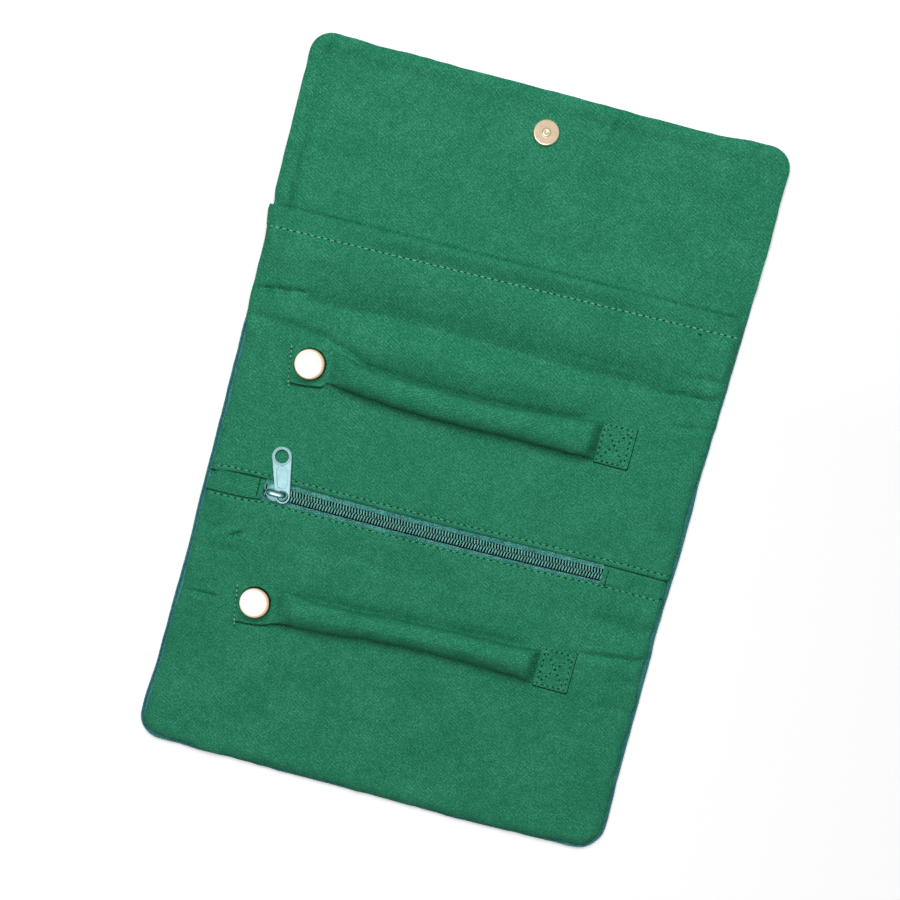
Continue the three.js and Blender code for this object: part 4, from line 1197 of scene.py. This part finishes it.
def make_bar(bar):
    shape = BARS[bar]
    snap = shape["snap"]
    seed = shape["seed"]
    body = bar + "_bar"
    stops = np.array(shape["sides"])
    x = np.unique(np.concatenate([np.linspace(stops[0, 0], stops[-1, 0], 190), stops[:, 0],
                                  np.linspace(55, 65, 40)]))
    blur = np.exp(-(np.arange(-6, 7) / 3.0) ** 2)
    blur /= blur.sum()
    tube = (x > snap[0] + 11.5) & (x < 58)
    edges = []
    for column in (1, 2):
        edge = np.interp(x, stops[:, 0], stops[:, column])
        soft = np.convolve(np.pad(edge, 6, mode="edge"), blur, mode="valid")
        edges.append(np.where(tube, soft, edge))
    low_side, high_side = edges
    low, tall = bar_levels(x, snap[0])
    round_share = smooth((tall - BAR_TAB_THICK) / 4.0)[:, None]
    turn = np.linspace(0, 2 * math.pi, BAR_SIDES, endpoint=False)
    rounder = np.where(np.cos(turn) < 0, 0.67, 0.52)
    rounder = np.where((np.cos(turn) < 0) & (np.sin(turn) > 0), shape["flank"] - 0.28, rounder)
    power = 0.28 + rounder[None] * round_share
    across = np.sign(np.cos(turn)) * np.abs(np.cos(turn)) ** power
    up = np.sign(np.sin(turn)) * np.abs(np.sin(turn)) ** power
    belly = 0.06 * round_share
    up = np.where(up < 0, up * (1 - belly), up * (1 + belly)) - belly
    way = np.broadcast_to(x[:, None], across.shape)
    lap = np.broadcast_to(turn[None] * 7.0, across.shape)
    swell = 0.30 * noise(way, lap, 9, seed) + 0.16 * noise(way + 0.8 * lap, lap, 4, seed + 1)
    swell = 1 + swell * round_share / 7.0
    half = ((high_side - low_side) / 2)[:, None]
    y = ((high_side + low_side) / 2)[:, None] + across * half * swell
    z = (low + tall / 2)[:, None] + up * (tall / 2)[:, None] * swell
    on_patch = (1 - round_share) * (way > BAR_END + 0.6) * (up > 0)
    z = z + 0.22 * noise(way, y, 2.6, seed + 3) * on_patch
    gathered = bump(way, BAR_END - 2.6, 2.2) * (up > 0)
    z = z + 0.8 * noise(way * 0.4, y, 2.4, seed + 5) * gathered
    at_snap = (1 - round_share) * (way < snap[0] + 20)
    from_snap = np.hypot(way - snap[0], y - snap[1])
    z = z - 1.7 * at_snap * smooth((from_snap - 6.6) / 3.4)
    rings = np.stack([way, y, z], axis=-1)
    # A dark cord under the snap tab's lower edge: painted shadow.
    start, end = shape["tab_shade_cord"]
    make_tab_shade_cord(body + "_tab_shade_cord", rings[(x > start) & (x < end), BAR_SIDES // 2], body)
    step = np.linalg.norm(np.diff(np.concatenate([rings, rings[:, :1]], axis=1), axis=1), axis=-1)
    girth = np.concatenate([np.zeros((len(x), 1)), np.cumsum(step, axis=1)[:, :-1]], axis=1)
    cloth_map = flat_map(way, girth + low_side[:, None]).reshape(-1, 2)
    faces = tube_faces(len(x), BAR_SIDES)
    piece = make_piece(bar + "_ring_bar", rings.reshape(-1, 3), faces, GREEN, cloth_map, sharp=60)
    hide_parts(body + "_cover", body + "_stuffing", body + "_stitched_tab")
    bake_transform(piece)


BASE_TAB_TURN = math.radians(9)
BASE_TAB_SHIFT = np.array([-0.4, -0.6])


def base_tab_spot(x, y, middle, lift):
    """Points of a base tab, which lies turned about its middle on the panel."""
    off_x = x - middle[0]
    off_y = y - middle[1]
    new_x = middle[0] + off_x * math.cos(BASE_TAB_TURN) - off_y * math.sin(BASE_TAB_TURN)
    new_y = middle[1] + off_x * math.sin(BASE_TAB_TURN) + off_y * math.cos(BASE_TAB_TURN)
    return panel_spot(new_x + BASE_TAB_SHIFT[0], new_y + BASE_TAB_SHIFT[1], lift)


def base_tab_seam(bar):
    """The line of stitches along the left edge of a base tab."""
    low, high = node_box(bar + "_bar_base_tab")
    y = np.linspace(high[1] - 0.8, low[1] - 1.8, 46)
    x = np.full_like(y, low[0] + 1.4)
    lift = np.where(y > low[1] + 0.2, 0.98, 0.15)
    return base_tab_spot(x, y, (low + high) / 2, lift)


def make_base_tab(bar):
    """The square of cloth under a press snap, sewn to the panel along its left edge."""
    node = bar + "_bar_base_tab"
    low, high = node_box(node)
    x, y = np.meshgrid(spread(low[0], high[0], 1.2, (0.0, 0.4)), spread(low[1], high[1], 1.2, (0.0, 0.4)))
    middle = (low + high) / 2
    face = base_tab_spot(x, y, middle, 1.1)
    away = np.hypot(x - middle[0], y - middle[1])
    stitched = bump(x, low[0] + 1.5, 0.8)
    edge = np.minimum(np.minimum(x - low[0], high[0] - x), np.minimum(y - low[1], high[1] - y))
    face[..., 2] -= 0.45 * smooth((8.5 - away) / 3) + 0.35 * stitched - 0.12 * noise(x, y, 5, 51)
    face[..., 2] -= 0.25 * smooth(1 - edge / 0.5)
    flat = flat_map(x, y)
    piece = sheet_piece(bar + "_base_cloth", face, flat, 0.75, GREEN)
    lay([node])
    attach(piece, BARS[bar]["root"])


# Metal fittings.
def make_cap(bar):
    """A domed cap with a rounded shoulder and a thin foot; the gold's colours painted by slope make its crown
    white and its shoulder and foot dark, painted reflection and shade.
    """
    node = bar + "_snap_cap"
    low, high = node_box(node)
    middle = (low + high) / 2 + np.array([*BARS[bar]["cap_shift"], 0.0])
    radius = (high[0] - low[0]) / 2 + 0.1
    shoulder_run = 2.4
    shoulder_drop = 1.25
    crown_edge = radius - shoulder_run
    crown_rise = 0.5
    crown = [(r, high[2] - crown_rise * (r / crown_edge) ** 2) for r in np.linspace(0, crown_edge, 14)]
    start = math.radians(13)
    shoulder = []
    for turn in np.linspace(start, math.pi / 2, 14)[1:]:
        out = (math.sin(turn) - math.sin(start)) / (1 - math.sin(start))
        down = (math.cos(start) - math.cos(turn)) / math.cos(start)
        shoulder.append((crown_edge + shoulder_run * out, high[2] - crown_rise - shoulder_drop * down))
    profile = crown + shoulder + [(radius + 0.4, low[2] - 0.5), (0, low[2] - 0.5)]
    points, faces = lathe(profile, middle)
    piece = make_piece(bar + "_cap", points, faces, GOLD_PAINTED_LIGHT, sharp=60)
    fit(piece, node, bar + "_bar")


def make_magnet_plate():
    low, high = node_box("magnet_plate")
    radius = (high[0] - low[0]) / 2 + 0.1
    face = high[2] - 1.2
    boss = 2.1
    profile = [(0, high[2] - 0.45), (0.5, high[2] - 0.42), (0.9, high[2] - 0.1), (1.2, high[2]),
               (1.6, high[2] - 0.02), (1.95, high[2] - 0.2), (boss, high[2] - 0.5),
               (boss + 0.03, face + 0.12), (boss + 0.15, face), (boss + 0.25, face), (radius - 0.8, face),
               (radius - 0.65, face), (radius - 0.5, face - 0.03), (radius - 0.25, face - 0.15),
               (radius - 0.05, face - 0.4), (radius, face - 0.7), (radius, low[2] + 0.2),
               (radius - 0.25, low[2]), (0, low[2])]
    points, faces = lathe(profile, MAGNET_PLATE + np.array([0.4, -0.4, 0.0]))
    piece = make_piece("magnet_disc", points, faces, SATIN_GOLD, sharp=50)
    fit(piece, "magnet_plate", "flap")


def dress_node(name, material):
    """A hidden fitting keeps its solid, with softened edges and a finish."""
    node = frame["nodes"][name]
    node.data.materials.clear()
    node.data.materials.append(material)
    bevel = node.modifiers.new("soft_edges", "BEVEL")
    bevel.width = 0.12 * MM
    bevel.segments = 2
    bevel.limit_method = "ANGLE"
    bevel.angle_limit = math.radians(40)


# Stitching: short threads that dip into the cloth at both ends.
STITCH_LENGTH = 2.0
STITCH_PITCH = 3.3
THREAD_RADIUS = 0.3
# Thickness of the dark cords that stand for the shadow along sewn edges: painted shadow.
SHADE_CORD_RADIUS = 0.42
# How far above the panels' face the stitches and the dark cords of painted shadow at the bars' sewn ends lie.
PATCH_LIFT = 1.27
PATCH_SHADE_CORD_LIFT = 0.1


def stitch_line(spots, pitch=STITCH_PITCH, length=STITCH_LENGTH, radius=THREAD_RADIUS, hole=1.4, seed=0):
    """Threads along a line of points on the cloth."""
    spots = np.asarray(spots, float)
    reach = reach_along(spots)
    count = max(1, int(reach[-1] / pitch))
    draw = np.random.default_rng(seed)
    starts = (np.arange(count) + 0.5) * reach[-1] / count - length / 2
    starts = starts + draw.uniform(-0.12, 0.12, count)
    threads = []
    holes = []
    share = np.array([0.0, 0.14, 0.35, 0.65, 0.86, 1.0])
    lift = np.array([-0.18, 0.02, 0.12, 0.12, 0.02, -0.18])
    thick = np.array([0.45, 0.85, 1.0, 1.0, 0.85, 0.45]) * radius
    # Each thread is followed by a dark dab: painted shade in its needle hole.
    hole_share = np.array([0.0, 0.2, 0.8, 1.0])
    hole_thick = np.array([0.6, 1.0, 1.0, 0.6]) * radius * hole
    for start in starts:
        at = start + share * length * draw.uniform(0.9, 1.08)
        path = np.stack([np.interp(at, reach, spots[:, k]) for k in range(3)], axis=-1)
        path[:, 2] += lift
        threads.append(sweep(path, thick, 6))
        gap = min(pitch - length, reach[-1] - at[-1])
        if gap > 0.3:
            at = at[-1] + gap * hole_share
            path = np.stack([np.interp(at, reach, spots[:, k]) for k in range(3)], axis=-1)
            holes.append(sweep(path, hole_thick, 6, squash=0.4))
    return threads, holes


def panel_line(start, end, lift, count=60):
    x = np.linspace(start[0], end[0], count)
    y = np.linspace(start[1], end[1], count)
    return panel_spot(x, y, lift)


def make_stitches(name, lines, body, thread, shade_cords=()):
    """Lines of stitches as one piece, with dark cords along given paths: painted shadow along a sewn edge."""
    threads = []
    holes = []
    for number, (spots, settings) in enumerate(lines):
        line_threads, line_holes = stitch_line(spots, seed=100 + number, **settings)
        threads += line_threads
        holes += line_holes
    for path in shade_cords:
        holes.append(sweep(path, SHADE_CORD_RADIUS, 8, squash=0.6))
    first_hole_shade = sum(len(faces) for _, faces in threads)
    points, faces = joined(*threads, *holes)
    # The needle-hole dabs and the dark cords wear the second material: painted shade.
    piece = make_piece(name, points, faces, thread, sharp=70, second=(SHADE_AND_DARK_THREAD, first_hole_shade))
    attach(piece, body)


def crossed_box(left, right, low, high, lift):
    """The sewn square and cross that holds a bar's end tab."""
    corners = [(left, low), (right, low), (right, high), (left, high)]
    lines = [(corners[k], corners[(k + 1) % 4]) for k in range(4)]
    lines += [(corners[0], corners[2]), (corners[1], corners[3])]
    small = {"pitch": 2.6, "length": 1.5, "radius": 0.22, "hole": 1.9}
    return [(panel_line(start, end, lift), small) for start, end in lines]


def make_all_stitches():
    x = np.linspace(-HALF_WIDTH + 1.5, HALF_WIDTH - 1.5, 160)
    hem = panel_spot(x, hem_line(x), 0.02)
    hem[:, 2] += pocket_gape(x, hem_line(x))
    thread_end = panel_line((94.3, 82.5), (95.8, 82.2), 0.12, 6)
    make_stitches("hem_stitches", [(hem, {"radius": 0.27})], "flap", THREAD, [thread_end])
    upper = panel_spot(x, window_top(x) + upper_topstitch(x), -0.32)
    lower = panel_spot(x, window_bottom(x) - LOWER_TOPSTITCH, -0.32)
    tack = {"pitch": 1.9, "length": 1.5}
    tab_tack = {"pitch": 2.2, "length": 1.5, "radius": 0.36}
    left_tack = np.array([(WINDOW_LEFT - 2.6, y, TAB_LEVEL + 0.05) for y in
                          np.linspace(WINDOW_BOTTOM + 0.8, WINDOW_TOP - 0.8, 20)])
    right_tack = left_tack + np.array([WINDOW_RIGHT - WINDOW_LEFT + 5.2, 0, 0.3])
    # Dark cords just inside the window's edges: painted shadow under the panels' lips.
    shade_cords = []
    for start, end in [(2.5 - HALF_WIDTH, WINDOW_LEFT), (WINDOW_RIGHT, HALF_WIDTH - 2.5)]:
        x = np.linspace(start, end, 80)
        shade_cords.append(np.stack([x, window_bottom(x) + 0.2, np.full_like(x, TAB_LEVEL - 0.52)], axis=-1))
        shade_cords.append(np.stack([x, window_top(x) - 0.15, np.full_like(x, TAB_LEVEL - 0.25)], axis=-1))
    make_stitches("zip_stitches", [(upper, {}), (lower, {})], "back", GREEN_THREAD, shade_cords)
    make_stitches("zip_tacks", [(left_tack, tack), (right_tack, tack)], "back", SHADE_AND_DARK_THREAD)
    for bar, shape in BARS.items():
        lines = crossed_box(*shape["sewn"], PATCH_LIFT)
        # Dark cords beside each sewn square: painted shadow.
        shade_cords = [panel_line(start, end, PATCH_SHADE_CORD_LIFT) for start, end in shape["shade_cords"]]
        make_stitches(bar + "_bar_stitches", lines, shape["root"], PATCH_THREAD, shade_cords)
        make_stitches(bar + "_tab_stitches", [(base_tab_seam(bar), tab_tack)], shape["root"], THREAD)


# Stage, light and camera.
FLOOR_DROP = 0.4
CAMERA_SPOT = (0.0010, 0.1072, 0.8904)
CAMERA_AHEAD = (-0.0056, -0.1213, -0.9926)
CAMERA_RIGHT = (0.9663, 0.2550, -0.0366)
CAMERA_LENS = 75.0
CAMERA_SENSOR = 36.0
FILL_LIGHT = 0.07


def make_camera():
    data = bpy.data.cameras.new("camera")
    data.lens = CAMERA_LENS
    data.sensor_width = CAMERA_SENSOR
    data.clip_start = 0.01
    camera = bpy.data.objects.new("camera", data)
    bpy.context.scene.collection.objects.link(camera)
    back = -Vector(CAMERA_AHEAD).normalized()
    right = Vector(CAMERA_RIGHT).normalized()
    up = back.cross(right).normalized()
    right = up.cross(back)
    turn = Matrix((right, up, back)).transposed().to_4x4()
    camera.matrix_world = Matrix.Translation(CAMERA_SPOT) @ turn
    bpy.context.scene.camera = camera


def seen_directly(tree):
    """1 where a surface is seen by the camera or in a reflection, and 0 where it only lights others."""
    light_path = tree.nodes.new("ShaderNodeLightPath")
    seen = maths(tree, "MAXIMUM", light_path.outputs["Is Camera Ray"], light_path.outputs["Is Glossy Ray"])
    return maths(tree, "MAXIMUM", seen, light_path.outputs["Is Transmission Ray"])


def make_floor():
    """A pale floor that shows white where it is fully lit, and keeps the shadows.

    The key lamp's light falls off towards -y, and the floor's glow makes up for it.
    """
    half = 4.0
    middle_glow = 0.14
    glow_per_metre = 0.56
    least_glow = 0.11
    most_glow = 0.38
    mesh = bpy.data.meshes.new("floor")
    drop = -FLOOR_DROP * MM
    corners = [(-half, -half, drop), (half, -half, drop), (half, half, drop), (-half, half, drop)]
    mesh.from_pydata(corners, [], [(0, 1, 2, 3)])
    floor = bpy.data.objects.new("floor", mesh)
    bpy.context.scene.collection.objects.link(floor)
    material = bpy.data.materials.new("floor_paper")
    material.use_nodes = True
    tree = material.node_tree
    tree.nodes.clear()
    seen = seen_directly(tree)
    plain = add_node(tree, "ShaderNodeBsdfDiffuse", Color=(0.8, 0.8, 0.8, 1)).outputs[0]
    shadowed = add_node(tree, "ShaderNodeBsdfDiffuse", Color=(1, 1, 1, 1)).outputs[0]
    place = tree.nodes.new("ShaderNodeNewGeometry").outputs["Position"]
    lost = dot(tree, place, (0, -glow_per_metre, 0))
    strength = maths(tree, "MAXIMUM", maths(tree, "ADD", lost, middle_glow), least_glow)
    strength = maths(tree, "MINIMUM", strength, most_glow)
    glow = add_node(tree, "ShaderNodeEmission", Color=(1, 1, 1, 1), Strength=strength).outputs[0]
    shown = add_node(tree, "ShaderNodeAddShader", i0=shadowed, i1=glow).outputs[0]
    both = add_node(tree, "ShaderNodeMixShader", i0=seen, i1=plain, i2=shown).outputs[0]
    add_node(tree, "ShaderNodeOutputMaterial", Surface=both)
    mesh.materials.append(material)


def add_lamp(name, spot, size, power, lights_surfaces, shows_in_gloss):
    """A square soft box that faces the object."""
    lamp = bpy.data.lights.new(name, "AREA")
    lamp.shape = "SQUARE"
    lamp.size = size
    lamp.energy = power
    holder = bpy.data.objects.new(name, lamp)
    bpy.context.scene.collection.objects.link(holder)
    holder.location = spot
    holder.rotation_mode = "QUATERNION"
    holder.rotation_quaternion = (-Vector(spot)).to_track_quat("-Z", "Y")
    holder.visible_camera = False
    holder.visible_diffuse = lights_surfaces
    holder.visible_glossy = shows_in_gloss


def make_lights():
    world = bpy.data.worlds.new("studio")
    bpy.context.scene.world = world
    world.use_nodes = True
    tree = world.node_tree
    tree.nodes.clear()
    seen = seen_directly(tree)
    fill = add_node(tree, "ShaderNodeBackground", Color=(1, 1, 1, 1), Strength=FILL_LIGHT).outputs[0]
    white = add_node(tree, "ShaderNodeBackground", Color=(1, 1, 1, 1), Strength=1.0).outputs[0]
    both = add_node(tree, "ShaderNodeMixShader", i0=seen, i1=fill, i2=white).outputs[0]
    add_node(tree, "ShaderNodeOutputWorld", Surface=both)
    add_lamp("key", (-0.14, 0.55, 1.335), size=1.0, power=21.4, lights_surfaces=True, shows_in_gloss=False)
    add_lamp("card", (-0.25, -0.45, 1.4), size=1.0, power=14.0, lights_surfaces=False, shows_in_gloss=True)


make_camera()
make_floor()
make_lights()
bpy.context.scene.view_settings.view_transform = "Standard"

for make_layer in (make_padding, make_cover, make_lining):
    for half_name in HALVES:
        make_layer(half_name)
make_slip_pocket()
make_zip_pocket()
make_end_tab("left", WINDOW_LEFT, -HALF_WIDTH + 0.6, 0.0)
make_end_tab("right", WINDOW_RIGHT, HALF_WIDTH - 0.6, 0.75)
make_tape("upper")
make_tape("lower")
make_coil("upper", 1)
make_coil("lower", -1)
make_slider()
make_puller()
for make_bar_part in (make_bar, make_base_tab, make_cap):
    for bar_name in BARS:
        make_bar_part(bar_name)
make_magnet_plate()
for bar_name in BARS:
    for part_name in ("stud", "post", "socket"):
        dress_node(f"{bar_name}_snap_{part_name}", STEEL)
dress_node("magnet_plate_washer", STEEL)
dress_node("magnet_case_washer", STEEL)
dress_node("magnet_case", SATIN_GOLD)
dress_node("magnet_ring", MAGNET)
make_all_stitches()
